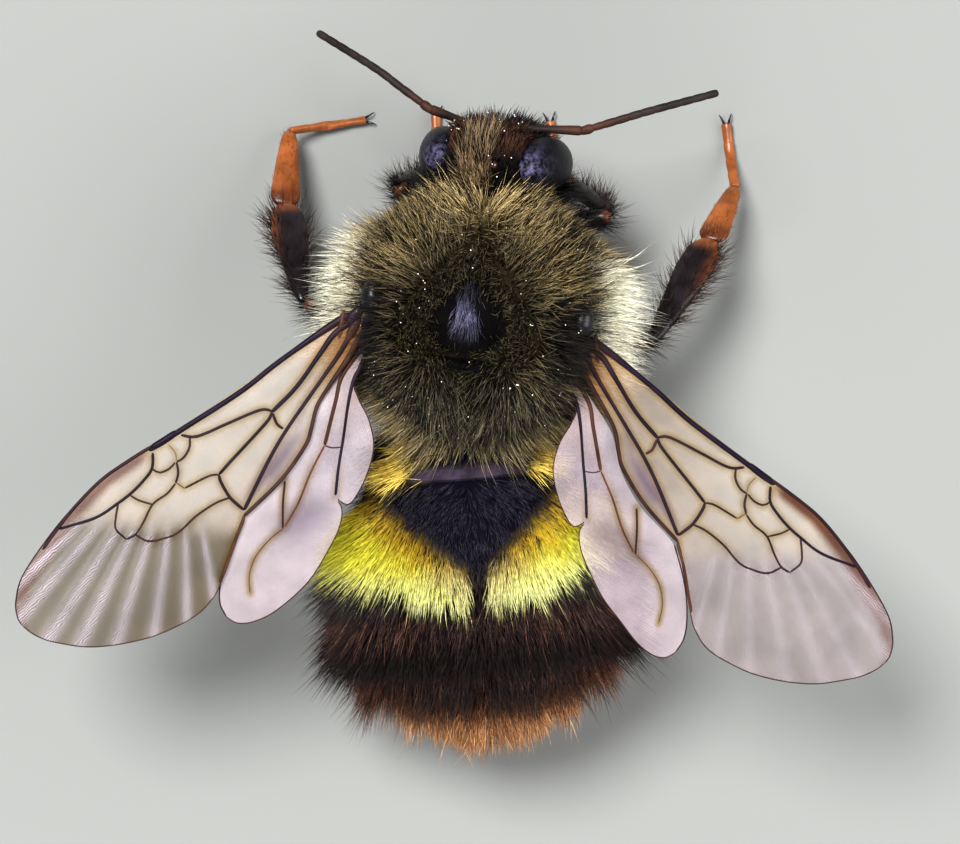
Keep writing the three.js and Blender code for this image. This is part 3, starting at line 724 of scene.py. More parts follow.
def placed_group(tree, name, **values):
    """A node that places one of the shared groups, which is built the first time; returns
    its outputs."""
    made = tree.nodes.new("ShaderNodeGroup")
    made.node_tree = bpy.data.node_groups.get(name) or GROUP_MAKERS[name]()
    return fill_in(made, values).outputs


# ------------------------------------------------------------------ materials

def finished(name, fill):
    """The material of this name; fill(tree, shader) makes its nodes the first time."""
    made = bpy.data.materials.get(name)
    if made is None:
        made = bpy.data.materials.new(name)
        made.use_nodes = True
        fill(made.node_tree, made.node_tree.nodes["Principled BSDF"])
    return made


def own_shade(tree):
    """The outputs that hold the piece's own colour and opacity."""
    return node(tree, "ShaderNodeAttribute", attribute_name="shade").outputs


def bumped(tree, height, strength, distance):
    """The normal of a surface with this height."""
    return node(tree, "ShaderNodeBump", Strength=strength, Distance=distance, Height=height).outputs["Normal"]


def coat_material(name, spread, gloss=0.3):
    """Hair: the strand's own shade, varied by noise."""
    def fill(tree, shader):
        varied = placed_group(tree, "strand variation", Spread=spread, Colour=own_shade(tree)["Color"])
        fill_in(shader, {"Base Color": varied["Colour"], "Roughness": varied["Roughness"],
                         "Specular IOR Level": gloss})
    return finished(name, fill)


def skin_material(name, roughness, gloss, bump=0.35):
    """Skin or shell of many colours: its own shade with grain and pits."""
    def fill(tree, shader):
        grain = placed_group(tree, "shell grain", Roughness=roughness, Colour=own_shade(tree)["Color"])
        fill_in(shader, {"Base Color": grain["Colour"], "Roughness": grain["Roughness"],
                         "Normal": bumped(tree, grain["Height"], bump, 0.00002), "Specular IOR Level": gloss})
    return finished(name, fill)


def shell_material(name, colour, roughness, pit_scale=16000.0, coat_weight=0.0, gloss=0.5):
    """Bare cuticle of one colour with grain and pits."""
    def fill(tree, shader):
        grain = placed_group(tree, "shell grain", Colour=(*colour, 1.0), Roughness=roughness,
                             Pit_Scale=pit_scale)
        fill_in(shader, {"Base Color": grain["Colour"], "Roughness": grain["Roughness"],
                         "Normal": bumped(tree, grain["Height"], 0.3, 0.00001), "Coat Weight": coat_weight,
                         "Coat Roughness": 0.12, "Specular IOR Level": gloss})
    return finished(name, fill)


def coat_skin_material():
    """The dull skin under the coat."""
    return skin_material("coat skin", 0.5, gloss=0.02)


def eye_material():
    """Blue-black eye with facets and lilac clouds of painted reflection."""
    def fill(tree, shader):
        shade = own_shade(tree)
        facets = placed_group(tree, "eye facets", Dark=shade["Color"], Cloud=shade["Alpha"],
                              Lilac=(*shell().eye_reflection, 1.0))
        fill_in(shader, {"Base Color": facets["Colour"], "Roughness": 0.3, "Specular IOR Level": 0.12,
                         "Normal": bumped(tree, facets["Height"], 0.8, 0.000012)})
    return finished("faceted eye", fill)


def wing_material():
    """Wing membrane: its own shade and opacity with pleats, wrinkles and tiny hairs."""
    def fill(tree, shader):
        shade = own_shade(tree)
        film = placed_group(tree, "wing film", Film=shade["Color"], Opacity=shade["Alpha"],
                            Streak=(*shell().membrane_fold_light_and_shade, 1.0))
        fill_in(shader, {"Base Color": film["Colour"], "Alpha": film["Alpha"], "Roughness": 0.34,
                         "Specular IOR Level": 0.22, "Normal": bumped(tree, film["Height"], 0.5, 0.00002)})
    return finished("wing film", fill)


# ------------------------------------------------------------------ markings
# Each function gives colours and growth from places on a part, in its own frame, so that
# the skin and the coat over it carry the same markings.

def patch_distance(place):
    """How far a place lies from the middle of the bare patch, which narrows to the front, 1
    at the patch's edge."""
    centre_x, centre_y, half_x, half_y = PATCH
    back = (place[..., 1] - centre_y) / half_y
    return np.hypot((place[..., 0] - centre_x) / (half_x * np.interp(back, [-1.0, 0.4], [0.6, 1.08])), back)


def thorax_marks(place):
    """Colour of the thorax: olive on top, tan at the front, stone behind the furrow, cream
    on the sides, and black round the bare patch, across to the wing bases and below."""
    x, y, z = place.T
    palette = coat()
    shade = np.broadcast_to(rgb(palette.olive), place.shape).copy()
    front = ramp(np.hypot((x - 0.3) / 1.3, y + 2.3), 1.1, 0.15) * ramp(z, 0.0, 0.6)
    shade = mixed(shade, rgb(palette.tan), front)
    near_patch = 0.6 * ramp(patch_distance(place), 2.6, 1.7) * (z > 0.5)
    stone = np.maximum(ramp(y, 1.1, 1.6) * ramp(z, 0.0, 0.6), near_patch)
    shade = mixed(shade, rgb(palette.stone), stone)
    dark = ramp(patch_distance(place), 2.3, 1.2) * ramp(z, 0.8, 1.4)
    dark = np.maximum(dark, 0.8 * ramp(y, -0.45, 0.15) * ramp(y, 1.45, 1.1) * ramp(z, 0.6, 1.0))
    dark = np.maximum(0.65 * dark, ramp(np.abs(x - 0.2), 1.3, 1.75) * ramp(y, -0.5, -0.1) * ramp(y, 1.5, 1.1))
    shade = mixed(shade, rgb(palette.black) * 2.0, 0.95 * dark * ramp(z, 0.5, 0.9))
    line = np.where(x > 0.0, 0.52, 0.85)
    cream = ramp(z, line + 0.2, line - 0.2) * ramp(z, -1.6, -1.1) * ramp(y, 1.2, 0.8) * ramp(y, -1.4, -0.95)
    shade = mixed(shade, rgb(palette.cream), cream)
    return mixed(shade, rgb(palette.black) * 2.0, ramp(z, -1.1, -1.6))


def bare_patch(place):
    """0 inside the bare patch of the thorax and on the bare strip along the furrow behind
    it, 1 outside them."""
    strip = np.hypot((place[..., 0] - PATCH[0]) / 0.8, (place[..., 1] - 1.24) / 0.2)
    return np.where(place[..., 2] > 0.5, ramp(np.minimum(patch_distance(place), strip), 0.8, 1.0), 1.0)


def yellow_depth(place):
    """How far a place lies behind the front of the yellow band, which runs forward from the
    middle of its hind edge to both sides."""
    return place[..., 1] - (3.1 - 0.85 * np.abs(place[..., 0]))


def yellow_end(place):
    """Where the yellow band ends along the spine, a little sooner on the flanks."""
    return 3.34 - 0.09 * place[..., 0] ** 2


def yellow_share(place):
    """1 on the yellow band, 0 in front of it, on its dark middle line and on the belly."""
    x, s, z = place.T
    end = yellow_end(place)
    on_back = ramp(yellow_depth(place), -0.15, 0.2) * ramp(s, end + 0.1, end - 0.04) * ramp(s, 1.0, 1.08)
    return on_back * ramp(np.abs(x), 0.13, 0.36) * ramp(z, -1.75, -1.35)


def abdomen_marks(place):
    """Colour of the abdomen: mossy side tufts on the first ring, blue-black and yellow on
    the second, black-brown on the third and fourth, rust on the last two."""
    x, s, z = place.T
    palette = coat()
    width = np.abs(x)
    shade = np.broadcast_to(rgb(palette.brown), place.shape).copy()
    shade = mixed(shade, rgb(palette.violet), ramp(s, 3.0, 2.7))
    moss = ramp(s, 1.12, 1.0) * ramp(width, 0.75, 1.15) * ramp(z, -0.9, -0.3)
    shade = mixed(shade, rgb(palette.moss), moss)
    front = np.broadcast_to(rgb(palette.gold), place.shape)
    shade = mixed(shade, mixed(front, rgb(palette.lemon), ramp(yellow_depth(place), 0.1, 0.8)),
                  yellow_share(place))
    late = s + 0.1 * width ** 2
    return mixed(shade, rgb(palette.rust), ramp(late, 5.35, 6.45) * ramp(z, -2.6, -1.6))


def head_marks(place):
    """Colour of the head: fawn on the crown, red-brown on the brow, black elsewhere."""
    x, y, z = place.T
    palette = coat()
    shade = np.broadcast_to(rgb(palette.black) * 1.5, place.shape).copy()
    brow = ramp(y, -0.25, -0.55) * ramp(z, -0.1, 0.5)
    shade = mixed(shade, rgb(palette.brow), brow)
    return mixed(shade, rgb(palette.fawn), ramp(np.abs(x - 0.08), 0.42, 0.22) * ramp(z, 0.9, 1.2))


# ------------------------------------------------------------------ strands

def spread_roots(surface, count, weight, rng):
    """count places on a surface, even by area and then thinned by weight(place, v): draws of
    (u, v) are kept with a chance in proportion to the stretch of the surface there."""
    draws = max(16 * count, 60000)
    u = rng.uniform(0.004, 0.996, draws)
    v = rng.uniform(0.0, 1.0, draws)
    chance = stretch(surface, u, v) * weight(surface(u, v), v)
    kept = np.flatnonzero(rng.uniform(0.0, np.quantile(chance, 0.997), len(u)) < chance)[:count]
    return u[kept], v[kept]


def slopes(surface, u, v):
    """The surface's change along u and along v, by small steps to both sides."""
    step = 1e-3
    low, high = np.maximum(u - step, 0.0), np.minimum(u + step, 1.0)
    along = (surface(high, v) - surface(low, v)) / (high - low)[..., None]
    around = (surface(u, v + step) - surface(u, v - step)) / (2 * step)
    return along, around


def stretch(surface, u, v):
    """Area of surface for each unit of (u, v)."""
    along, around = slopes(surface, u, v)
    return np.linalg.norm(np.cross(along, around), axis=-1)


def growth(surface, u, v, lie_at):
    """Root places, outward normals, and the lie of the coat within the surface."""
    root = surface(u, v)
    along, around = slopes(surface, u, v)
    normal = unit(np.cross(along, around))
    inside = surface(u, v + 0.5)
    normal *= np.sign(np.einsum("ij,ij->i", normal, root - inside))[:, None]
    lie = lie_at(root)
    lie = unit(lie - np.einsum("ij,ij->i", lie, normal)[:, None] * normal)
    return root, normal, lie


def strands(surface, place, count, weight, pelt, lie_at, rng, *, clump, gather, thickness, jitter, stray,
            segments=3, corner=(0.0, 0.0), window=1.0):
    """Closed three-sided strands on a surface. A strand leaves its root along first, a blend
    of normal and lie by its lift, and ends along second, bent further over. Its middle line
    at the share t is root + first (t - t^2/2) + second t^2/2, drawn towards the tip of its
    tuft by gather t^2, and its half thickness falls as 1 - t^2.5 to a point."""
    tuft_u, tuft_v = spread_roots(surface, max(count // clump, 1), weight, rng)
    tufts = len(tuft_u)
    count = tufts * clump
    tuft = np.repeat(np.arange(tufts), clump)
    along, around = slopes(surface, tuft_u, tuft_v)
    off = rng.normal(0.0, jitter, (count, 2))
    u = tuft_u[tuft] + off[:, 0] / np.maximum(np.linalg.norm(along, axis=1), 0.3)[tuft]
    u = np.clip(u, 0.003, 0.997)
    v = tuft_v[tuft] + off[:, 1] / np.maximum(np.linalg.norm(around, axis=1), 0.3)[tuft]
    root, normal, lie = growth(surface, u, v, lie_at)
    length, lift, root_shade, tip_shade, scale = pelt(root, rng)
    length = length * roughly(rng, tufts, 0.12)[tuft]
    wander = rng.normal(0.0, stray, (tufts, 3))[tuft] * 0.6 + rng.normal(0.0, stray, lie.shape) * 0.8
    leaning = unit(lie + np.clip(wander, -1.7 * stray, 1.7 * stray))
    first = unit(normal * lift[:, None] + leaning * (1.0 - lift[:, None]))
    second = unit(first + 0.45 * leaning) * length[:, None]
    first = first * length[:, None]
    tip = root + 0.5 * first + 0.5 * second
    centre = triples(*(np.bincount(tuft, column, tufts) / clump for column in tip.T))
    pull = (centre[tuft] - tip) * gather

    t = np.linspace(0.0, 1.0, segments + 1)[None, :, None]
    line = (root[:, None] - normal[:, None] * 0.02 + first[:, None] * (t - t ** 2 / 2)
            + second[:, None] * (t ** 2 / 2) + pull[:, None] * t ** 2)
    half = thickness * scale[:, None] * (1.0 - t[0, :-1, 0] ** 2.5)[None]
    points = strand_rings(line, unit(first + second), normal + 0.31 * lie + 1e-3, half)
    shares = np.append(np.repeat(t[0, :-1, 0], 3), 1.0)
    # Colour runs from the root shade to the tip shade; the pelts darken most root shades as painted shade
    # deep in the pile.
    tints = mixed(root_shade[:, None], tip_shade[:, None], np.clip(1.3 * shares, 0, 1)[None])
    bake = strand_bake(u, v, shares, corner, window)
    return place.points(points), strand_triangles(count, segments), tints, bake


def strand_rings(line, heading, aside, half):
    """Points of each strand: rings of three round its middle line, square to its heading, and
    its tip. Sideways is square to heading and aside."""
    sideways = unit(np.cross(heading, aside))
    upward = np.cross(heading, sideways)
    turn = FULL_TURN * np.arange(3) / 3
    ring = np.cos(turn)[None, :, None] * sideways[:, None] + np.sin(turn)[None, :, None] * upward[:, None]
    rings = line[:, :-1, None] + ring[:, None] * half[:, :, None, None]
    return np.concatenate([rings.reshape(len(line), -1, 3), line[:, -1:]], axis=1)


def strand_bake(u, v, shares, corner, window):
    """Places in the bake: each strand has a small patch of its own round its root's (u, v),
    and the whole lies in a square with the side window, from corner."""
    across = np.append(np.tile(np.arange(3), len(shares) // 3), 1) / 2 - 0.5
    bake = np.empty((len(u), len(shares), 2))
    bake[..., 0] = (v % 1.0)[:, None] + BAKE_PATCH * across[None]
    bake[..., 1] = u[:, None] + BAKE_PATCH * (shares[None] - 0.5)
    return np.clip(bake, 0.002, 0.998) * window + np.asarray(corner)


def strand_triangles(count, segments):
    """Triangles of count strands, for each: one across the root, six for each stretch between
    rings, and three up to the tip, all facing out."""
    one = [(0, 2, 1)]
    for ring in range(segments - 1):
        for k in range(3):
            a, b = 3 * ring + k, 3 * ring + (k + 1) % 3
            one += [(a, b, b + 3), (a, b + 3, a + 3)]
    last = 3 * (segments - 1)
    one += [(last + k, last + (k + 1) % 3, 3 * segments) for k in range(3)]
    size = 3 * segments + 1
    return np.array(one)[None] + size * np.arange(count)[:, None, None]


def gathered(batches):
    """Several batches of strands of the same make as one."""
    points, triangles, tints, bakes = zip(*batches)
    starts = np.cumsum([0] + [part.shape[0] * part.shape[1] for part in points[:-1]])
    triangles = [faces + start for faces, start in zip(triangles, starts)]
    return tuple(np.concatenate(parts) for parts in (points, triangles, tints, bakes))


def coat_pieces(name, made, material):
    """One or more coat pieces of at most STRANDS_PER_PIECE strands each."""
    points, triangles, tints, bake = made
    count, size = points.shape[:2]
    parts = np.array_split(np.arange(count), max(1, math.ceil(count / STRANDS_PER_PIECE)))
    for k, chunk in enumerate(parts):
        label = name if len(parts) == 1 else f"{name}_{k + 1}"
        piece(label, points[chunk].reshape(-1, 3), (triangles[chunk] - size * chunk[0]).reshape(-1, 3),
              material, colours=tints[chunk].reshape(-1, 3), bake=bake[chunk].reshape(-1, 2))


def roughly(rng, count, spread):
    """count factors round 1."""
    return np.clip(rng.normal(1.0, spread, count), 0.5, 1.5)


# ------------------------------------------------------------------ building the pieces

def build_trunk():
    """Skins of thorax and abdomen, the neck and waist between them, and the tegulae."""
    points, triangles = solid_of(thorax_skin, 96, 128)
    bare = 1.0 - bare_patch(points)
    marks = thorax_marks(points)
    # The skin takes a darker copy of the pile's marks: dark cuticle with painted shade between the strands,
    # lighter under the pale cream pile.
    tint = mixed(marks * (0.1 + 0.7 * ramp(marks[:, 2], 0.2, 0.6))[:, None], rgb(coat().black) * 0.5, bare)
    piece("thorax_skin", THORAX.points(points), triangles, coat_skin_material(),
          ["thorax"], tint)

    shares = np.sort(np.concatenate([
        np.linspace(0.0, 1.0, 121)[1:-1],
        TERGITE_EDGES[1:-1] / ABDOMEN_LENGTH - 0.0004,
        TERGITE_EDGES[1:-1] / ABDOMEN_LENGTH + 0.0012,
        1.0 - 0.008 * np.array([0.7, 0.4, 0.2, 0.07, 0.015]),
        0.008 * np.array([0.02, 0.08, 0.2, 0.45, 0.75]),
    ]))
    points, triangles = solid_of(abdomen_skin, shares, 128)
    tint = abdomen_marks(points) * 0.3
    # Painted sheen: the bare hind edge of the first ring takes the lighter band colour.
    bare_sheen_band = ramp(points[:, 1], 0.7, 0.9) * ramp(points[:, 1], 1.1, 1.04) * (points[:, 2] > 0)
    tint = mixed(tint, rgb(shell().bare_sheen_band), bare_sheen_band * ramp(np.abs(points[:, 0]), 1.6, 1.3))
    rings = [f"abdomen_{k}" for k in range(1, 7)]
    piece("abdomen_skin", ABDOMEN.points(points), triangles, coat_skin_material(), rings, tint)

    joints = [
        limb_skin([(-0.1, -2.0, 4.45), (-0.2, -2.4, 4.5), (-0.3, -3.0, 4.4)], (1, 0, 0),
                  through((0, 0.75), (1, 0.7)), through((0, 0.7), (1, 0.65))),
        limb_skin([(0.25, 1.9, 4.05), (0.34, 2.5, 4.05), (0.35, 3.0, 4.0)], (1, 0, 0),
                  through((0, 0.7), (1, 0.8)), through((0, 0.6), (1, 0.7))),
    ]
    dark = shell_material("joint membrane", rgb(coat().black) * 1.5, 0.5)
    points, triangles = joined([solid_of(surface, 20, 32) for surface in joints])
    piece("neck_and_waist", points, triangles, dark)

    gloss = shell_material("tegula shell", rgb(shell().shell), 0.28, gloss=0.55)
    for name, (side, offset) in TEGULAE.items():
        where = THORAX.child(offset, rotation(roll=TEGULA_LEAN * side))
        points, triangles = ellipsoid(TEGULA_HALF, 28, 40)
        piece(f"tegula_cap_{name}", where.points(points), triangles, gloss, [f"tegula_{name}"])


def build_head():
    """Head skin, faceted eyes, ocelli, jaws with the labrum, and the folded tongue."""
    points, triangles = solid_of(head_skin, 80, 104)
    tint = mixed(head_marks(points) * 0.4, rgb(shell().shell), ramp(points[:, 2], 0.6, 0.2))
    piece("head_skin", HEAD.points(points), triangles, coat_skin_material(), ["head"], tint)

    for name, side in (("left", 1), ("right", -1)):
        where = HEAD.child(np.array(EYE_OFFSET) * (side, 1, 1), rotation(roll=EYE_LEAN * side))
        points, triangles = ellipsoid(EYE_HALF, 56, 72)
        # Painted reflection: the lilac clouds may show on the top of each eye, most near its middle.
        cloud = hump(np.hypot((points[:, 0] - 0.04 * side) / 0.28, points[:, 1] / 0.34), 0.0, 1.0)
        cloud = cloud * ramp(points[:, 2], 0.0, 0.7)
        tint = np.column_stack([np.tile(rgb(shell().eye), (len(points), 1)), cloud])
        piece(f"eye_globe_{name}", where.points(points), triangles, eye_material(),
              [f"eye_{name}"], tint)

    beads = []
    for offset in ((0.0, -0.42, 1.52), (0.3, -0.2, 1.64), (-0.3, -0.2, 1.64)):
        bead, faces = ellipsoid((0.11, 0.11, 0.11), 14, 20)
        beads.append((HEAD.points(bead + np.array(offset)), faces))
    points, triangles = joined(beads)
    clear = shell_material("ocellus", (0.05, 0.02, 0.012), 0.05, coat_weight=1.0)
    piece("ocelli", points, triangles, clear)

    gloss = shell_material("jaw shell", rgb(shell().shell) * 2.0, 0.2, coat_weight=0.4)
    for name, side in (("left", 1), ("right", -1)):
        path = np.array([(0.72, -0.25, -1.35), (0.66, -0.58, -1.75), (0.27, -0.68, -2.05)]) * (side, 1, 1)
        blade = limb_skin(path, (0, 0.4, 1), through((0, 0.2), (0.5, 0.17), (1, 0.2)),
                          through((0, 0.15), (1, 0.08)))
        points, triangles = solid_of(blade, 28, 24)
        piece(f"jaw_{name}", HEAD.points(points), triangles, gloss, [f"mandible_{name}"])
    lip = solid_of(lambda u, v: rounded(u, v, (0.42, 0.42, 0.1, 0.1, 0.2, 0.16), 2.6), 24, 32)
    piece("labrum", HEAD.points(lip[0] + np.array([0.0, -0.52, -1.68])), lip[1], gloss)

    sheath = limb_skin([(0, -0.45, -1.78), (0, -0.1, -2.08), (0, 0.75, -2.0), (0, 1.5, -1.7)], (1, 0, 0),
                       through((0, 0.3), (0.3, 0.26), (1, 0.1)), through((0, 0.22), (0.3, 0.17), (1, 0.08)))
    points, triangles = solid_of(sheath, 40, 24)
    piece("tongue_sheath", HEAD.points(points), triangles,
          shell_material("tongue shell", shell().tongue, 0.3), ["proboscis"])


def flagellum_half(u):
    """Half thickness of the flagellum: ten beads, each pinched a little at its joint."""
    bead = np.abs(np.sin(np.pi * FLAGELLUM_BEADS * np.clip(u, 0.0, 1.0)))
    return (0.078 + 0.012 * bead ** 0.4) * np.interp(u, [0.0, 0.12, 1.0], [0.85, 1.0, 0.95])


def build_feelers():
    """Each feeler: a bowed scape, a short pedicel and a flagellum of ten beads."""
    finish = skin_material("feeler shell", 0.55, bump=0.2, gloss=0.25)
    dark, brown = rgb(shell().feeler), rgb(shell().foot_dark) * 1.3
    for name, joints in ANTENNAE.items():
        socket, elbow, bend, tip = (np.array(joint) for joint in joints)
        bow = (socket + elbow) / 2 + np.array([0.0, 0.0, 0.06])
        start = elbow + unit(bend - elbow) * 0.17
        scape = through((0, 0.075), (0.5, 0.085), (1, 0.115))
        pedicel = through((0, 0.09), (0.6, 0.11), (1, 0.085))
        parts = [
            solid_of(limb_skin([socket, bow, elbow], (0, 0, 1), scape, scape, 24), 40, 20),
            solid_of(limb_skin([elbow - unit(elbow - bow) * 0.06, elbow, start + unit(bend - elbow) * 0.08],
                               (0, 0, 1), pedicel, pedicel, 8), 18, 20),
            solid_of(limb_skin([start, (start + bend) / 2, bend, tip], (0, 0, 1), flagellum_half,
                               flagellum_half, 60), 220, 20),
        ]
        points, triangles = joined(parts)
        near_elbow = ramp(np.linalg.norm(points - start, axis=1), 1.3, 0.3)
        share = 0.35 * near_elbow * ramp(points[:, 2] - start[2], -0.1, 0.12)
        piece(f"feeler_{name}", points, triangles, finish,
              [f"antenna_{name}_scape", f"antenna_{name}_flagellum"], mixed(dark, brown, share))


# ------------------------------------------------------------------ wings

def pleat_share(x, y):
    """1 on the pleats, which fan out over the outer part of the forewing and carry a painted
    highlight.
    """
    angle = np.arctan2(y - PLEAT_CENTRE[1], x - PLEAT_CENTRE[0])
    pleats = sum(hump(angle, math.radians(turn), 0.03) for turn in PLEAT_ANGLES)
    return np.clip(pleats, 0.0, 1.0) * ramp(x + y, 6.5, 7.6) * ramp(x, 4.7, 5.2)


def wing_relief(x, y):
    """Height of the membrane over its plane: pleats near the root, low folds that fan out
    over the outer part, and a gentle arch from front to hind edge."""
    pleats = 0.05 * np.sin(5.2 * y + 0.6) * ramp(x, 4.5, 1.0)
    arch = 0.10 * np.sin(np.clip((y + 0.8) / 3.6, 0.0, 1.0) * np.pi) * ramp(x, 0.0, 3.0)
    return pleats + 0.05 * pleat_share(x, y) + arch


def placed_on_wing(wing, points, drop=0.0, lag=0.0):
    """Points of the wing's own plan in the standing animal: the outer trailing part fans
    out by the wing's spread, then the plan is scaled, mirrored, turned and set on its root."""
    x, y, z = points.T
    fanned = y * (1.0 + wing["spread"] * ramp(x, 4.6, 7.0) * ramp(y, 0.0, 2.5)) + lag
    local = triples(x * wing["side"], fanned, z / wing["scale"]) * wing["scale"]
    turn = rotation(yaw=wing["side"] * wing["sweep"])
    return Place(np.array(wing["root"]) - (0, 0, drop), turn).points(local)


def membrane(lead, trail):
    """A flat closed film between its two edges: at x, y = middle - half cos(2 pi v), and the
    two faces lie a film's thickness apart round the relief."""
    lead_route, trail_route = smooth_path(lead, 300), smooth_path(trail, 400)
    x_start, x_end = lead[0][0], lead[-1][0]

    def surface(u, v):
        x = x_start + (x_end - x_start) * np.sin(0.5 * np.pi * u)
        front = np.interp(x, lead_route[:, 0], lead_route[:, 1])
        rear = np.interp(x, trail_route[:, 0], trail_route[:, 1])
        closing = np.minimum(u / 0.01, 1.0) * np.minimum((1.0 - u) / 0.004, 1.0)
        y = (front + rear) / 2 - (rear - front) / 2 * np.cos(FULL_TURN * v) * closing
        film = FILM_HALF * signed_power(np.sin(FULL_TURN * v), 0.4) * closing
        return triples(x, y, wing_relief(x, y) + film)

    return surface


def vein_gap(x, y, veins):
    """Distance from each place to the edge of the nearest vein."""
    gaps = []
    for half, _, points in veins:
        route = smooth_path(points, 80)
        squared = (x[:, None] - route[:, 0]) ** 2 + (y[:, None] - route[:, 1]) ** 2
        gaps.append(np.sqrt(squared.min(axis=1)) - half)
    return np.min(gaps, axis=0)


def film_shade(wing, points, veins, is_fore):
    """Colour and opacity of the film: clear cream or pink cells, olive-yellow beside the
    veins, orange-brown at the root, smoke over the outer part, brown along the front edge
    and a violet shadow before the hind edge."""
    x, y, _ = points.T
    finish = shell()
    shade = np.broadcast_to(rgb(finish.membrane if is_fore else finish.membrane_pink), points.shape).copy()
    opacity = np.full(len(points), 0.17 if is_fore else 0.27)

    def tint(colour, share, denser):
        shade[:] = mixed(shade, rgb(colour), share)
        opacity[:] += denser * share

    gap = vein_gap(x, y, veins)
    tint(finish.membrane_halo, 0.9 * hump(gap, 0.0, 0.1) * ramp(x, 7.4, 6.2), 0.3)
    tint(finish.membrane_root, 0.75 * ramp(x, 2.1, 0.3), 0.3)
    if is_fore:
        smoke = mixed(rgb(finish.membrane_pink) * 0.55, rgb(finish.membrane_smoke), wing["smoke"])
        tint(smoke, 0.95 * ramp(x + y, 6.2, 7.4) * ramp(x, 4.6, 5.0), 0.14 + 0.2 * wing["smoke"])
        front = np.interp(x, *np.array(FOREWING_LEAD).T)
        strip = ramp(y - front, 0.42, 0.12) * ramp(x, 5.1, 5.6)
        tint(finish.membrane_brown, strip * np.interp(x, [7.2, 8.4, 9.7], [1.0, 0.85, 0.5]), 0.6)
        shadow = hump(y - np.interp(x, *np.array(FOREWING_TRAIL).T), -0.3, 0.22) * hump(x, 3.2, 1.1)
        tint(finish.membrane_dusk, 0.9 * shadow, 0.4)
    else:
        shadow = hump(x, 3.6, 0.8) * hump(y, 2.7, 0.5) + hump(x, 2.2, 0.5) * hump(y, 2.1, 0.35)
        tint(finish.membrane_dusk, np.clip(0.75 * shadow, 0.0, 1.0), 0.25)
    return np.column_stack([shade, np.clip(opacity, 0.0, 0.95)])


def vein_tube(half, amber, points):
    """A round vein along the membrane with blunt ends, and its shade."""
    route = smooth_path([(x, y, 0.0) for x, y in points], 60)
    route[:, 2] = wing_relief(route[:, 0], route[:, 1])
    length = np.linalg.norm(np.diff(route, axis=0), axis=1).sum()
    width = VEIN_WIDE * half * (1.0 + 0.6 * ramp(route[:, 0], 1.6, 0.2))
    along = np.linspace(0.0, 1.0, len(route))
    surface = limb_skin(route, (0, 0, 1), lambda u: half * VEIN_TALL,
                        lambda u: np.interp(u, along, width), 0.7 * length / half)
    ends = np.array([0.12, 0.45, 1.0]) * half / length
    shares = np.concatenate([ends, np.linspace(0.0, 1.0, max(6, int(length / 0.08)))[1:-1], 1.0 - ends[::-1]])
    points, triangles = solid_of(surface, np.sort(shares), 10)
    near_root = 0.15 * ramp(points[:, 0], 1.2, 0.2)
    share = np.clip(amber + near_root, 0.0, 1.0)
    return points, triangles, mixed(rgb(shell().vein), rgb(shell().vein_amber), share)


def build_wings():
    """Four films, each with its veins and rim, and the hinge plates at the roots."""
    vein_finish = skin_material("wing vein", 0.4, bump=0.2, gloss=0.12)
    plans = (
        ("forewing", FOREWING_LEAD, FOREWING_TRAIL, FOREWING_VEINS, 0.0, 230, 110),
        ("hindwing", HINDWING_LEAD, HINDWING_TRAIL, HINDWING_VEINS, HINDWING_DROP, 200, 80),
    )
    for name, wing in WINGS.items():
        for kind, lead, trail, veins, drop, rows, around in plans:
            is_fore = kind == "forewing"
            lag = 0.0 if is_fore else wing["lag"]
            points, triangles = solid_of(membrane(lead, trail), rows, around)
            placed = placed_on_wing(wing, points, drop, lag)
            x, y, _ = points.T
            # Share of the fold colour: painted highlight on the forewing's pleats, greyer wavy lines near the
            # hindwing's root.
            marks = pleat_share(x, y) * (0.4 + 0.6 * wing["smoke"]) if is_fore else ramp(x, 3.6, 1.8)
            piece(f"{kind}_film_{name}", placed, facing_out(placed, triangles), wing_material(),
                  [f"{kind}_{name}"], colours=film_shade(wing, points, veins, is_fore),
                  places=np.column_stack([x, y, marks]))
            rims = [(0.014, 0.3, trail[2:]), (0.018, 0.2, lead[5:])]
            tubes = [vein_tube(*vein) for vein in (*veins, *rims)]
            laid = [(placed_on_wing(wing, part, drop, lag), faces) for part, faces, _ in tubes]
            points, triangles = joined([(part, facing_out(part, faces)) for part, faces in laid])
            piece(f"{kind}_veins_{name}", points, triangles, vein_finish,
                  colours=np.vstack([tint for _, _, tint in tubes]))
        build_hinge(name, wing, vein_finish)


def build_hinge(name, wing, finish):
    """Small plates between tegula and wing root, orange-brown and dark by turns."""
    plates, tints = [], []
    for k, (centre, long, wide, amber) in enumerate(HINGE_PLATES):
        body, faces = ellipsoid((wide, long, 0.06), 16, 20, 2.2)
        body = placed_on_wing(wing, body[:, [1, 0, 2]] @ rotation(yaw=12 + 9 * k).T + np.array(centre))
        plates.append((body, facing_out(body, faces)))
        tints.append(np.broadcast_to(mixed(rgb(shell().vein), rgb(shell().vein_amber), amber), body.shape))
    points, triangles = joined(plates)
    piece(f"wing_hinge_{name}", points, triangles, finish, colours=np.vstack(tints))


# ------------------------------------------------------------------ legs

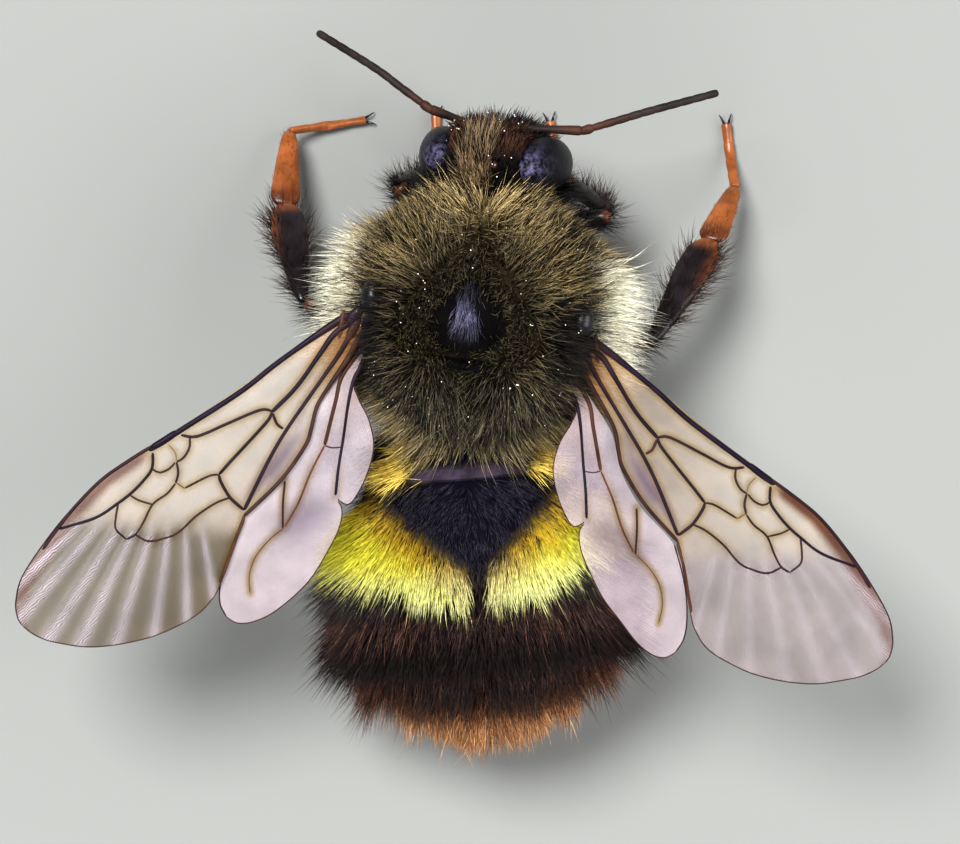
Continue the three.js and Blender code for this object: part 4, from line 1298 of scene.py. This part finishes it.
def leg_surfaces(points, tibia, heel_half):
    """A leg's surfaces from hip to toe: hip joints, femur, tibia, first tarsal joint and
    four short ones that widen towards their ends."""
    hip, trochanter, knee, ankle, heel, toe = (np.array(joint) for joint in points)
    side = 1.0 if hip[0] > 0 else -1.0
    flat = np.array([side, 0.25, 0.3])
    lift = np.array([0.0, 0.0, 0.1])
    leg = {
        "hip": limb_skin([hip, (hip + trochanter) / 2 + 0.3 * lift, trochanter], flat,
                         through((0, 0.36), (0.55, 0.36), (0.8, 0.24), (1, 0.26)),
                         through((0, 0.34), (0.55, 0.34), (0.8, 0.22), (1, 0.22))),
        "femur": limb_skin([trochanter - lift, (trochanter + knee) / 2 + lift, knee], flat,
                           through((0, 0.17), (0.4, 0.29), (1, 0.19)),
                           through((0, 0.15), (0.4, 0.24), (1, 0.17))),
        "tibia": limb_skin([knee, (knee + ankle) / 2 + 0.5 * lift, ankle], flat,
                           through((0, 0.13), (0.1, 0.19), (0.68, tibia), (0.88, tibia * 0.95),
                                   (1, tibia * 0.7)),
                           through((0, 0.12), (0.5, 0.17), (1, 0.13)), 8),
    }
    ball = np.array([*((heel + toe) / 2)[:2], toe[2] + 0.1])
    foot = {
        "basitarsus": limb_skin([ankle - 0.12 * unit(heel - ankle), (ankle + heel) / 2, heel], flat,
                                through((0, heel_half * 0.9), (0.15, heel_half * 1.1),
                                        (0.6, heel_half * 0.85), (1, heel_half * 0.5)),
                                through((0, 0.1), (0.5, 0.12), (1, 0.1)), 12)}
    stops = smooth_path([heel, ball, toe], 41)
    for k in range(4):
        foot[f"tarsus_{k + 2}"] = limb_skin(stops[max(10 * k - 2, 0):10 * k + 11], flat,
                                            through((0, 0.105), (0.85, 0.125), (1, 0.12)),
                                            through((0, 0.08), (0.85, 0.088), (1, 0.085)), 40)
    return leg, foot


def leg_tint(name, points, rows, around):
    """Shade of one joint of a leg: dark, with the far end and the outer rim of the tibia and
    the whole foot orange-brown, the foot darker where it joins the leg."""
    along = np.concatenate([[0.0], np.repeat(np.arange(1, rows) / rows, around), [1.0]])
    turn = np.concatenate([[0.0], np.tile(np.arange(around) / around, rows - 1), [0.0]])
    dark, brown = rgb(shell().leg), rgb(shell().foot)
    outer = np.maximum(np.cos(FULL_TURN * turn), 0.0) ** 3 * ramp(along, 0.4, 0.85)
    base, other, share = {
        "hip": (dark, dark, 0.0),
        "femur": (dark, brown, 0.5 * ramp(along, 0.88, 0.98)),
        "tibia": (dark, brown, np.maximum(ramp(along, 0.84, 0.97), 0.85 * outer)),
        "basitarsus": (brown, rgb(shell().foot_dark), ramp(along, 0.45, 0.0)),
    }.get(name, (brown, brown, 0.0))
    return mixed(np.broadcast_to(base, points.shape), other, share)


def claw_surfaces(points):
    """Two hooked claws, side by side at the toe."""
    heel, toe = np.array(points[4]), np.array(points[5])
    forward = unit((toe - heel) * (1, 1, 0))
    sideways = np.cross(forward, (0, 0, 1))
    hooks = []
    for side in (-1.0, 1.0):
        start = toe + sideways * 0.04 * side - forward * 0.03
        middle = toe + forward * 0.12 + sideways * 0.1 * side + np.array([0, 0, 0.05])
        end = toe + forward * 0.22 + sideways * 0.15 * side - np.array([0, 0, toe[2] - 0.06])
        hooks.append(limb_skin([start, middle, end], (0, 0, 1), through((0, 0.035), (1, 0.008)),
                               through((0, 0.035), (1, 0.008))))
    return hooks


def build_legs():
    """Six legs, each a dark leg, an orange-brown foot, flat where it stands, and two claws."""
    finish = skin_material("leg shell", 0.24, bump=0.2, gloss=0.4)
    claw = shell_material("claw shell", rgb(shell().shell) * 2.0, 0.2)
    for name, plan in LEGS.items():
        leg, foot = leg_surfaces(*plan)
        for label, joints, rows, around, slot, replaced in (
                ("leg_shell", leg, 36, 28, "leg", [f"leg_{name}_femur", f"leg_{name}_tibia"]),
                ("foot", foot, 26, 24, "foot", [f"leg_{name}_tarsus"])):
            shafts = [solid_of(surface, rows, around) for surface in joints.values()]
            tint = np.vstack([leg_tint(joint, shaft, rows, around)
                              for joint, (shaft, _) in zip(joints, shafts)])
            points, triangles = joined(shafts)
            points[:, 2] = np.maximum(points[:, 2], 0.0)
            piece(f"{label}_{name}", points, triangles, finish, replaced, tint)
        points, triangles = joined([solid_of(surface, 12, 12) for surface in claw_surfaces(plan[0])])
        piece(f"claws_{name}", points, triangles, claw)


# ------------------------------------------------------------------ coats

def strand_count(full):
    """How many of the full coat's strands to grow."""
    return int(full * coat().strands)


def thorax_pelt(root, rng):
    """Length, lift, shades and thickness of the thorax pile."""
    x, y, z = root.T
    count = len(root)
    inner = ramp(patch_distance(root), 2.05, 1.15) * ramp(z, 0.6, 1.2)
    sides = ramp(z, 0.8, 0.3) * ramp(y, -1.9, -0.8)
    length = 0.72 - 0.38 * inner + 0.5 * sides - 0.18 * ramp(y, -0.9, -1.8) * ramp(np.abs(x - 0.15), 0.6, 1.3)
    length = length - 0.25 * ramp(y, 1.4, 1.9) * ramp(np.abs(x), 0.6, 1.2)
    length = np.where(z < -1.3, 0.5, length) * roughly(rng, count, 0.24) * coat().length
    lift = np.clip(0.64 + 0.06 * inner + 0.12 * sides + rng.normal(0.0, 0.12, count), 0.12, 0.95)
    shade = thorax_marks(root)
    black_share = 0.36 + 0.1 * ramp(y, 1.0, 1.4) + 0.2 * ramp(x, -0.8, -1.6) * ramp(y, -0.6, -1.2)
    black_share = black_share + 0.1 * ramp(np.abs(x), 1.2, 1.8) + 0.2 * hump(z, 0.9, 0.2)
    is_black = rng.uniform(size=count) < black_share * ramp(z, 0.1, 0.9) * ramp(shade[:, 2], 0.5, 0.2) + 0.02
    shade = np.where(is_black[:, None], rgb(coat().black), shade)
    length = np.where(is_black, length * 1.2, length)
    tip = shade * roughly(rng, count, 0.35)[:, None]
    # Painted shade: the roots are darkened deep in the pile, least under the pale cream pile.
    base = 0.07 + 0.93 * ramp(shade[:, 2], 0.2, 0.6)
    return length, lift, shade * base[:, None], tip, roughly(rng, count, 0.15) * (1.0 + 0.4 * sides)


def thorax_lie(root):
    """On top the pile lies outwards from a ring round the bare patch, and inwards within it.
    Behind the furrow it fans from two whorls. On the sides it points out and back."""
    x, y, z = root.T
    side = x - THORAX_MIDLINE * np.clip(z / 2.1, 0.0, 1.0)
    sign = np.where(side > 0, 1.0, -1.0)
    away = unit(triples(x - PATCH[0], y - PATCH[1], 0.0))
    turned = np.tanh((patch_distance(root) - 1.5) / 0.22)[:, None]
    from_crown = triples(x - 0.15, y + 2.15, 0.0)
    crown = ramp(np.linalg.norm(from_crown, axis=1), 1.1, 0.5)
    top = mixed(away * turned, unit(from_crown), crown)
    whorl = unit(triples(side - 0.95 * sign, y - 1.3, 0.0)) + np.array([0.0, 0.35, 0.0])
    lie = mixed(top, unit(whorl), ramp(y, 1.0, 1.3))
    below = triples(np.sign(x), 0.12 * y + 0.12, -0.35)
    return mixed(lie, unit(below), ramp(z, 0.8, 0.2))


def thorax_weight(root, _):
    """Where the pile grows: not on the bare patch, round the tegulae, or at neck and waist."""
    _, y, z = root.T
    weight = bare_patch(root)
    for _, offset in TEGULAE.values():
        weight = weight * ramp(np.linalg.norm(root - offset, axis=1), 0.2, 0.42)
    weight = weight * np.where((y < -1.9) & (z < 0.2), 0.3, 1.0) * np.where((y > 1.9) & (z < 0.0), 0.25, 1.0)
    weight = weight * (1.0 + 1.0 * ramp(z, 0.9, 0.5) * ramp(z, -1.0, -0.4))
    weight = weight * (1.0 + 0.7 * ramp(patch_distance(root), 2.0, 1.3) * (z > 0.5))
    return weight * np.where(z < -1.2, 0.35, 1.0)


def crest_weight(root, _):
    """The little tuft along the middle of the bare patch, wider towards its hind end."""
    x, y, z = root.T
    wide = np.interp(y, [-0.8, -0.1, 0.4], [0.02, 0.05, 0.08])
    return hump(x, CREST_MIDDLE, wide) * ramp(y, -0.85, -0.5) * ramp(y, 0.5, -0.1) * (z > 0)


def crest_lie(root):
    """Backwards, and a little away from the tuft's middle line."""
    return triples(0.7 * (root[:, 0] - CREST_MIDDLE), 1.0, 0.0)


def crest_pelt(root, rng):
    """Pelt of the little tuft: lilac, with a painted highlight that is palest towards its hind
    end and fades to the front, and painted shade at the roots.
    """
    count = len(root)
    glow = np.interp(root[:, 1], [-0.8, -0.3, 0.0, 0.25, 0.45], [0.12, 0.4, 1.4, 0.6, 0.1])
    glow = glow * roughly(rng, count, 0.55)
    shade = rgb(coat().crest) * np.clip(glow, 0.05, 1.7)[:, None]
    length = 0.34 * roughly(rng, count, 0.35)
    return length, np.full(count, 0.3), shade * 0.15, shade, roughly(rng, count, 0.3)


def flat_pelt(length, lift, root_shade, tip_shade):
    """A pelt of one length and lift, from one shade to another."""
    def pelt(root, rng):
        count = len(root)
        return (length * roughly(rng, count, 0.4) * coat().length,
                np.clip(lift + rng.normal(0.0, 0.07, count), 0.05, 0.9),
                np.broadcast_to(root_shade, (count, 3)),
                tip_shade * roughly(rng, count, 0.2)[:, None], roughly(rng, count, 0.2))
    return pelt


def build_thorax_coat():
    """The pile of the thorax with the little tuft on its bare patch."""
    rng = np.random.default_rng(11)
    pile = strands(thorax_skin, THORAX, strand_count(THORAX_STRANDS), thorax_weight, thorax_pelt,
                   thorax_lie, rng, clump=4, gather=0.14, thickness=0.0068, jitter=0.08, stray=0.5)
    crest = strands(thorax_skin, THORAX, strand_count(CREST_STRANDS), crest_weight, crest_pelt,
                    crest_lie, rng, clump=3, gather=0.3, thickness=0.0042, jitter=0.05, stray=0.25)
    coat_pieces("thorax_coat", gathered([pile, crest]), coat_material("olive pile", 0.4))


def head_pelt(root, rng):
    """Length, lift, shades and thickness of the head's pile: a long crown tuft between the
    eyes, short black hair beside it, and a shaggy brow, face and cheeks."""
    x, y, z = root.T
    count = len(root)
    crown = ramp(np.abs(x - 0.08), 0.43, 0.24) * ramp(z, 0.8, 1.15)
    top = ramp(z, 0.5, 0.9) * (1.0 - crown)
    nape = ramp(y, 0.0, 0.4) * ramp(np.abs(x), 0.5, 0.9)
    length = (0.42 + 0.24 * crown - 0.18 * top + 0.35 * nape) * roughly(rng, count, 0.25) * coat().length
    lift = np.clip(0.5 + rng.normal(0.0, 0.1, count), 0.12, 0.9)
    shade = head_marks(root)
    is_black = rng.uniform(size=count) < 0.3
    shade = np.where(is_black[:, None], rgb(coat().black), shade)
    # Painted shade: the roots take a fifth of the hair's shade.
    return length, lift, shade * 0.2, shade * roughly(rng, count, 0.3)[:, None], roughly(rng, count, 0.15)


def head_lie(root):
    """Forward over the crown, up and forward on the brow, down the face and cheeks."""
    x, y, z = root.T
    crown = triples(0.2 * x, -1.0, 0.1)
    face = triples(0.6 * x, -0.4, -1.0)
    brow = triples(0.5 * x, -0.8, 0.3)
    nape = triples(np.sign(x), 0.15, 0.15)
    lie = mixed(mixed(face, brow, ramp(z, -0.1, 0.3)), nape, ramp(y, 0.0, 0.35))
    return mixed(lie, crown, ramp(z, 0.8, 1.2))


def head_weight(root, _):
    """Everywhere but under the eyes, on the shield over the mouth and at the neck."""
    x, y, z = root.T
    centre, half = np.array(EYE_OFFSET), np.array(EYE_HALF)
    lean = math.radians(EYE_LEAN)
    out, rise = np.abs(x) - centre[0], z - centre[2]
    across = out * math.cos(lean) - rise * math.sin(lean)
    up = out * math.sin(lean) + rise * math.cos(lean)
    gap = np.sqrt((across / half[0]) ** 2 + ((y - centre[1]) / half[1]) ** 2 + (up / half[2]) ** 2)
    shield = hump(x, 0.0, 0.5) * hump(z, -0.95, 0.5) * ramp(y, 0.0, -0.4)
    return ramp(gap, 1.0, 1.2) * (1.0 - 0.9 * shield) * np.where((y > 0.4) & (np.abs(x) < 0.6), 0.3, 1.0)


def build_head_coat():
    """The pile of the head."""
    rng = np.random.default_rng(23)
    made = strands(head_skin, HEAD, strand_count(HEAD_STRANDS), head_weight, head_pelt, head_lie, rng,
                   clump=5, gather=0.2, thickness=0.008, jitter=0.06, stray=0.3)
    coat_pieces("head_coat", made, coat_material("fawn pile", 0.45))


def abdomen_lie(root):
    """Backwards all over; away from the middle line on the front of the second ring, a
    little towards it on the yellow band, parted behind, and outwards on the flanks."""
    x, s, _ = root.T
    inner = hump(np.abs(x), 0.35, 0.8) * np.tanh(x / 0.06)
    saddle = 0.6 * ramp(s, 2.3, 1.4)
    band = 0.12 * ramp(s, 2.2, 2.8) * ramp(s, 3.5, 3.3)
    turn = inner * (saddle - band + 0.2 * ramp(s, 3.4, 3.7))
    flank = 0.22 * np.sign(x) * (np.abs(x) / 2.7) ** 3
    return triples(turn + flank, 1.0, -0.12)


def ring_share(s):
    """How far along its own ring a place on the spine lies, from 0 to 1."""
    return np.interp(s, TERGITE_EDGES, np.arange(len(TERGITE_EDGES))) % 1.0


def abdomen_pelt(root, rng):
    """Length, lift, shades and thickness of the abdomen's pile."""
    x, s, z = root.T
    count = len(root)
    yellow = yellow_share(root)
    flank = ramp(np.abs(x), 1.8, 2.5)
    short = ramp(s, 1.0, 1.15) * ramp(s, yellow_end(root), yellow_end(root) - 0.2) * (1.0 - yellow)
    length = 0.84 + 0.4 * flank - 0.52 * short * (1.0 - 0.6 * flank)
    length = length - yellow * np.interp(s, [2.7, 3.2], [0.18, 0.0])
    length = np.where(s < 1.05, 0.75, length)
    length = np.where(z < -1.8, 0.45, length) * np.interp(s, [5.6, 6.9], [1.0, 0.85])
    behind = ramp(s, 3.4, 3.5)
    late_ring = ring_share(s) * behind
    length = length * (1.0 - 0.22 * behind + 0.4 * late_ring)
    length = length * roughly(rng, count, 0.22) * coat().length
    lift = 0.26 + 0.28 * flank - 0.12 * short + 0.2 * ramp(s, 5.4, 6.4) + 0.06 * ramp(s, 3.4, 3.6)
    lift = np.clip(lift + 0.1 * late_ring + rng.normal(0.0, 0.07, count), 0.06, 0.85)
    base, tip = abdomen_shades(root, rng)
    return length, lift, base, tip, roughly(rng, count, 0.15) * (1.0 + 0.35 * yellow)


def abdomen_shades(root, rng):
    """Shades of the abdomen's pile at root and tip: painted glints among the dark hairs, dark
    hairs among the yellow and the first rust ones, pale tips on the yellow band and the tail,
    a painted sheen along the front half of each dark ring and at random on dark tips, and
    painted shade at the roots."""
    x, s, z = root.T
    count = len(root)
    yellow = yellow_share(root)
    ring = ring_share(s)
    shade = abdomen_marks(root)
    draw = rng.uniform(size=count)
    # Painted glints: some dark hairs of the third and fourth rings take the red-brown glint colour.
    glint_share = (0.06 + 0.3 * ramp(np.abs(x), 0.5, 1.4)) * ramp(s, 3.3, 3.5) * ramp(s, 5.6, 5.2)
    glint = draw < glint_share * ramp(ring, 0.9, 0.3)
    shade = np.where(glint[:, None], rgb(coat().glint) * roughly(rng, count, 0.3)[:, None], shade)
    among_yellow = (draw > 0.88) & (yellow > 0.05) & (yellow_depth(root) < 0.35)
    dark = among_yellow | (draw > 0.6) & (s > 5.3) & (s < 6.1)
    shade = np.where(dark[:, None], rgb(coat().brown), shade)
    paler = np.where(dark, 0.0, 1.0)
    tip = mixed(shade, rgb(coat().pale), 0.75 * yellow * ramp(s, 2.3, 3.1) * paler)
    tail = ramp(s + 0.1 * x ** 2, 5.9, 6.4) * ramp(z, -2.4, -1.4) * paler
    tip = mixed(tip, rgb(coat().straw), 0.75 * tail * rng.uniform(0.0, 1.0, count))
    # Painted sheen: the dark tips are lit along the front half of each dark ring, and by turns at random.
    sheen = 1.0 + (1.4 * hump(ring, 0.3, 0.22) - 0.45) * ramp(s, 3.4, 3.5) * ramp(s, 5.7, 5.5)
    tip = tip * np.where(yellow > 0.3, 1.0, sheen * rng.lognormal(0.0, 0.4, count))[:, None]
    # Painted shade: the roots are darkened, less under the yellow band and on the first ring.
    return shade * (0.25 + 0.55 * np.maximum(yellow, s < 1.05))[:, None], tip


def abdomen_weight(low, high, yellow=None):
    """Where the pile of the rings between two places on the spine grows; on the second ring
    either the yellow hairs or the dark ones."""
    def weight(root, _):
        x, s, z = root.T
        inside = ((s >= low) & (s < high)).astype(float)
        if yellow is not None:
            share = yellow_share(root)
            inside = inside * (share if yellow else 1.0 - share)
        bare_sheen_band = ramp(np.abs(x), 1.45, 1.1) * ramp(s, 0.5, 0.65) * ramp(s, 1.16, 1.06) * (z > 0)
        return inside * (1.0 - bare_sheen_band) * np.where(s < 0.3, 0.2, 1.0) * np.where(z < -1.6, 0.3, 1.0)
    return weight


def build_abdomen_coat():
    """The pile of the abdomen, one coat for each of its colours."""
    moss, blue_black = coat_material("moss pile", 0.35), coat_material("blue-black pile", 0.6, 0.6)
    lemon, brown = coat_material("lemon pile", 0.25), coat_material("black-brown pile", 0.6, 0.2)
    rust = coat_material("rust pile", 0.45)
    # Name, stretch of the spine and whether only its yellow hairs, strands, segments, finish,
    # slot, gather, stray and seed of the draws.
    plans = (
        ("waist_coat", (0.0, 1.05), 3200, 3, moss, "yellow_coat", 0.2, 0.3, 29),
        ("dark_saddle_coat", (1.05, 3.38, False), 9500, 2, blue_black, "black_coat", 0.3, 0.3, 31),
        ("yellow_band_coat", (1.05, 3.38, True), 9500, 3, lemon, "yellow_coat", 0.55, 0.22, 33),
        ("dark_band_coat", (3.38, 5.35), 14000, 3, brown, "black_coat", 0.35, 0.32, 37),
        ("tail_coat", (5.35, ABDOMEN_LENGTH), 7000, 3, rust, "rust_coat", 0.2, 0.42, 41),
    )
    for name, where, count, segments, finish, slot, gather, stray, seed in plans:
        made = strands(abdomen_skin, ABDOMEN, strand_count(count), abdomen_weight(*where), abdomen_pelt,
                       abdomen_lie, np.random.default_rng(seed), clump=7, gather=gather, segments=segments,
                       thickness=0.0085, jitter=0.07, stray=stray)
        coat_pieces(name, made, finish)


def toward(end, start):
    """A lie that points from one joint to the next."""
    direction = np.asarray(end, dtype=float) - np.asarray(start, dtype=float)
    return lambda root: np.broadcast_to(direction, root.shape)


def fringe(_, v):
    """Hair mostly along the outer edge of a flat joint, less along the inner one."""
    edge = np.cos(FULL_TURN * v)
    return 0.01 + np.maximum(edge, 0.0) ** 12 + 0.25 * np.maximum(-edge, 0.0) ** 12


def all_over(_, v):
    """Hair all over a joint."""
    return np.ones_like(v)


def build_pollen():
    """Pollen grains caught on the tips of the pile of thorax and head."""
    rng = np.random.default_rng(71)
    grain, faces = ellipsoid((1.0, 1.0, 1.0), 4, 6)
    parts = []
    for surface, place, count, weight, height in ((thorax_skin, THORAX, 130, thorax_weight, 0.5),
                                                  (head_skin, HEAD, 34, head_weight, 0.4)):
        u, v = spread_roots(surface, count, lambda root, v: weight(root, v) * (root[:, 2] > 0.4), rng)
        root, normal, _ = growth(surface, u, v, lambda where: np.ones_like(where))
        where = place.points(root + normal * height * rng.uniform(0.6, 1.1, (len(root), 1)))
        size = rng.uniform(0.008, 0.017, (len(root), 1, 1))
        parts.append(where[:, None] + grain[None] * size)
    grains = np.concatenate(parts)
    triangles = faces[None] + len(grain) * np.arange(len(grains))[:, None, None]
    piece("pollen", grains.reshape(-1, 3), triangles.reshape(-1, 3),
          shell_material("pollen", coat().pollen, 0.6, pit_scale=60000.0))


def build_leg_coat():
    """The hairs of the legs, one coat for each side; each joint has its own corner of the
    bake."""
    rng = np.random.default_rng(53)
    still = Place((0.0, 0.0, 0.0), rotation())
    black, amber = rgb(coat().black), rgb(coat().amber)
    for side in ("left", "right"):
        batches = []
        for k, (name, plan) in enumerate(item for item in LEGS.items() if item[0].endswith(side)):
            leg, foot = leg_surfaces(*plan)
            joints = plan[0]
            full = 1.0 if name.startswith("front") else 1.3
            # Root and tip shades: roots darker than tips as painted shade deep in the hair; the tibia's
            # fringe tips are red-brown.
            jobs = (
                (leg["hip"], all_over, 300, 0.45, 0.5, black, black * 2, joints[1], joints[0]),
                (leg["femur"], all_over, 620, 0.5, 0.45, black, black * 1.5, joints[2], joints[1]),
                (leg["tibia"], fringe, 480, 0.5, 0.5, black, rgb(coat().glint) * 0.7, joints[3], joints[2]),
                (foot["basitarsus"], all_over, 420, 0.12, 0.3, amber * 0.6, amber, joints[4], joints[3]),
            )
            for j, (surface, weight, count, length, lift, base, tips, end, start) in enumerate(jobs):
                pelt, lie_at = flat_pelt(length, lift, base, tips), toward(end, start)
                batches.append(strands(surface, still, strand_count(int(count * full)), weight, pelt,
                                       lie_at, rng, clump=4, gather=0.05, thickness=0.0055, jitter=0.08,
                                       stray=0.3, segments=2, corner=(0.25 * j, 0.33 * k), window=0.24))
        points, *rest = gathered(batches)
        points[..., 2] += np.maximum(0.01 - points[..., 2].min(axis=1, keepdims=True), 0.0)
        coat_pieces(f"leg_coat_{side}", (points, *rest), coat_material("leg hair", 0.4))


# ------------------------------------------------------------------ stage

def floor_material():
    """A matt, faintly clouded floor."""
    def fill(tree, shader):
        cloud = node(tree, "ShaderNodeTexNoise", Vector=object_place(tree), Scale=40.0, Detail=3.0)
        low, high = ((*(rgb(stage().floor) * factor), 1.0) for factor in (0.98, 1.02))
        fill_in(shader, {"Base Color": blended(tree, cloud.outputs["Fac"], low, high), "Roughness": 0.8})
    return finished("pale floor", fill)


def build_stage():
    """A pale floor, soft studio light and a camera straight above."""
    scene = bpy.context.scene
    scene.view_settings.view_transform = "Standard"
    scene.view_settings.look = "Medium High Contrast"
    ground = bpy.data.meshes.new("floor")
    corners = [(x * FLOOR_HALF, y * FLOOR_HALF, 0) for x, y in ((-1, -1), (1, -1), (1, 1), (-1, 1))]
    ground.from_pydata(corners, [], [(0, 1, 2, 3)])
    ground.materials.append(floor_material())
    floor = bpy.data.objects.new("floor", ground)
    scene.collection.objects.link(floor)

    world = bpy.data.worlds.new("studio")
    world.use_nodes = True
    fill_in(world.node_tree.nodes["Background"], {"Color": (0.86, 0.90, 1.0, 1.0), "Strength": 0.12})
    scene.world = world

    for name, place, power, spread in LIGHTS:
        lamp = bpy.data.lights.new(name, "SUN")
        lamp.energy = power
        lamp.angle = math.radians(spread)
        made = bpy.data.objects.new(name, lamp)
        made.location = place
        made.rotation_euler = (-Vector(place)).to_track_quat("-Z", "Y").to_euler()
        scene.collection.objects.link(made)

    lens = bpy.data.cameras.new("camera")
    lens.sensor_width = 36.0
    lens.lens = lens.sensor_width * (stage().camera_height - WING_LEVEL * MM) / stage().view_width
    lens.clip_start = 0.005
    camera = bpy.data.objects.new("camera", lens)
    middle = (np.array(VIEW_MIDDLE) + SHIFT) * MM
    camera.location = (middle[0], middle[1], stage().camera_height)
    camera.rotation_euler = (0.0, 0.0, math.pi)
    scene.collection.objects.link(camera)
    scene.camera = camera


# ------------------------------------------------------------------ operators and panel

class BUMBLEBEE_OT_trunk(bpy.types.Operator):
    """Build the skins of thorax and abdomen, the neck, the waist and the tegulae"""

    bl_idname = "bumblebee.trunk"
    bl_label = "Trunk"

    def execute(self, context):
        build_trunk()
        return {"FINISHED"}


class BUMBLEBEE_OT_head(bpy.types.Operator):
    """Build the head, eyes, ocelli, jaws and tongue"""

    bl_idname = "bumblebee.head"
    bl_label = "Head"

    def execute(self, context):
        build_head()
        return {"FINISHED"}


class BUMBLEBEE_OT_feelers(bpy.types.Operator):
    """Build both antennae"""

    bl_idname = "bumblebee.feelers"
    bl_label = "Feelers"

    def execute(self, context):
        build_feelers()
        return {"FINISHED"}


class BUMBLEBEE_OT_wings(bpy.types.Operator):
    """Build the wing films, their veins and the hinges"""

    bl_idname = "bumblebee.wings"
    bl_label = "Wings"

    def execute(self, context):
        build_wings()
        return {"FINISHED"}


class BUMBLEBEE_OT_legs(bpy.types.Operator):
    """Build the six legs with their feet and claws"""

    bl_idname = "bumblebee.legs"
    bl_label = "Legs"

    def execute(self, context):
        build_legs()
        return {"FINISHED"}


class BUMBLEBEE_OT_thorax_coat(bpy.types.Operator):
    """Grow the pile of the thorax"""

    bl_idname = "bumblebee.thorax_coat"
    bl_label = "Thorax Coat"

    def execute(self, context):
        build_thorax_coat()
        return {"FINISHED"}


class BUMBLEBEE_OT_head_coat(bpy.types.Operator):
    """Grow the pile of the head"""

    bl_idname = "bumblebee.head_coat"
    bl_label = "Head Coat"

    def execute(self, context):
        build_head_coat()
        return {"FINISHED"}


class BUMBLEBEE_OT_abdomen_coat(bpy.types.Operator):
    """Grow the pile of the abdomen"""

    bl_idname = "bumblebee.abdomen_coat"
    bl_label = "Abdomen Coat"

    def execute(self, context):
        build_abdomen_coat()
        return {"FINISHED"}


class BUMBLEBEE_OT_leg_coat(bpy.types.Operator):
    """Grow the hairs of the legs"""

    bl_idname = "bumblebee.leg_coat"
    bl_label = "Leg Coat"

    def execute(self, context):
        build_leg_coat()
        return {"FINISHED"}


class BUMBLEBEE_OT_pollen(bpy.types.Operator):
    """Scatter pollen grains over the pile"""

    bl_idname = "bumblebee.pollen"
    bl_label = "Pollen"

    def execute(self, context):
        build_pollen()
        return {"FINISHED"}


class BUMBLEBEE_OT_stage(bpy.types.Operator):
    """Set up the floor, the lights and the camera"""

    bl_idname = "bumblebee.stage"
    bl_label = "Stage"

    def execute(self, context):
        build_stage()
        return {"FINISHED"}


OPERATORS = (
    BUMBLEBEE_OT_trunk, BUMBLEBEE_OT_head, BUMBLEBEE_OT_feelers, BUMBLEBEE_OT_wings, BUMBLEBEE_OT_legs,
    BUMBLEBEE_OT_thorax_coat, BUMBLEBEE_OT_head_coat, BUMBLEBEE_OT_abdomen_coat, BUMBLEBEE_OT_leg_coat,
    BUMBLEBEE_OT_pollen, BUMBLEBEE_OT_stage,
)


class BUMBLEBEE_PT_sidebar(bpy.types.Panel):
    """The bumblebee's builders"""

    bl_idname = "BUMBLEBEE_PT_sidebar"
    bl_label = "Bumblebee"
    bl_space_type = "VIEW_3D"
    bl_region_type = "UI"
    bl_category = "Bumblebee"

    def draw(self, context):
        for made in OPERATORS:
            self.layout.operator(made.bl_idname)


SETTINGS = {
    "bumblebee_coat": BumblebeeCoatSettings,
    "bumblebee_shell": BumblebeeShellSettings,
    "bumblebee_stage": BumblebeeStageSettings,
}


def register():
    """Add the settings, the operators and the panel."""
    for made in (*SETTINGS.values(), *OPERATORS, BUMBLEBEE_PT_sidebar):
        bpy.utils.register_class(made)
    for name, group in SETTINGS.items():
        setattr(bpy.types.Scene, name, bpy.props.PointerProperty(type=group))


def unregister():
    """Take them away again."""
    for name in SETTINGS:
        delattr(bpy.types.Scene, name)
    for made in (BUMBLEBEE_PT_sidebar, *reversed(OPERATORS), *reversed(list(SETTINGS.values()))):
        bpy.utils.unregister_class(made)


def main():
    """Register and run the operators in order."""
    register()
    for made in OPERATORS:
        name = made.bl_idname.split(".")[1]
        if getattr(bpy.ops.bumblebee, name)() != {"FINISHED"}:
            raise RuntimeError(f"{made.bl_label} wasn't finished")


if __name__ == "__main__":
    main()
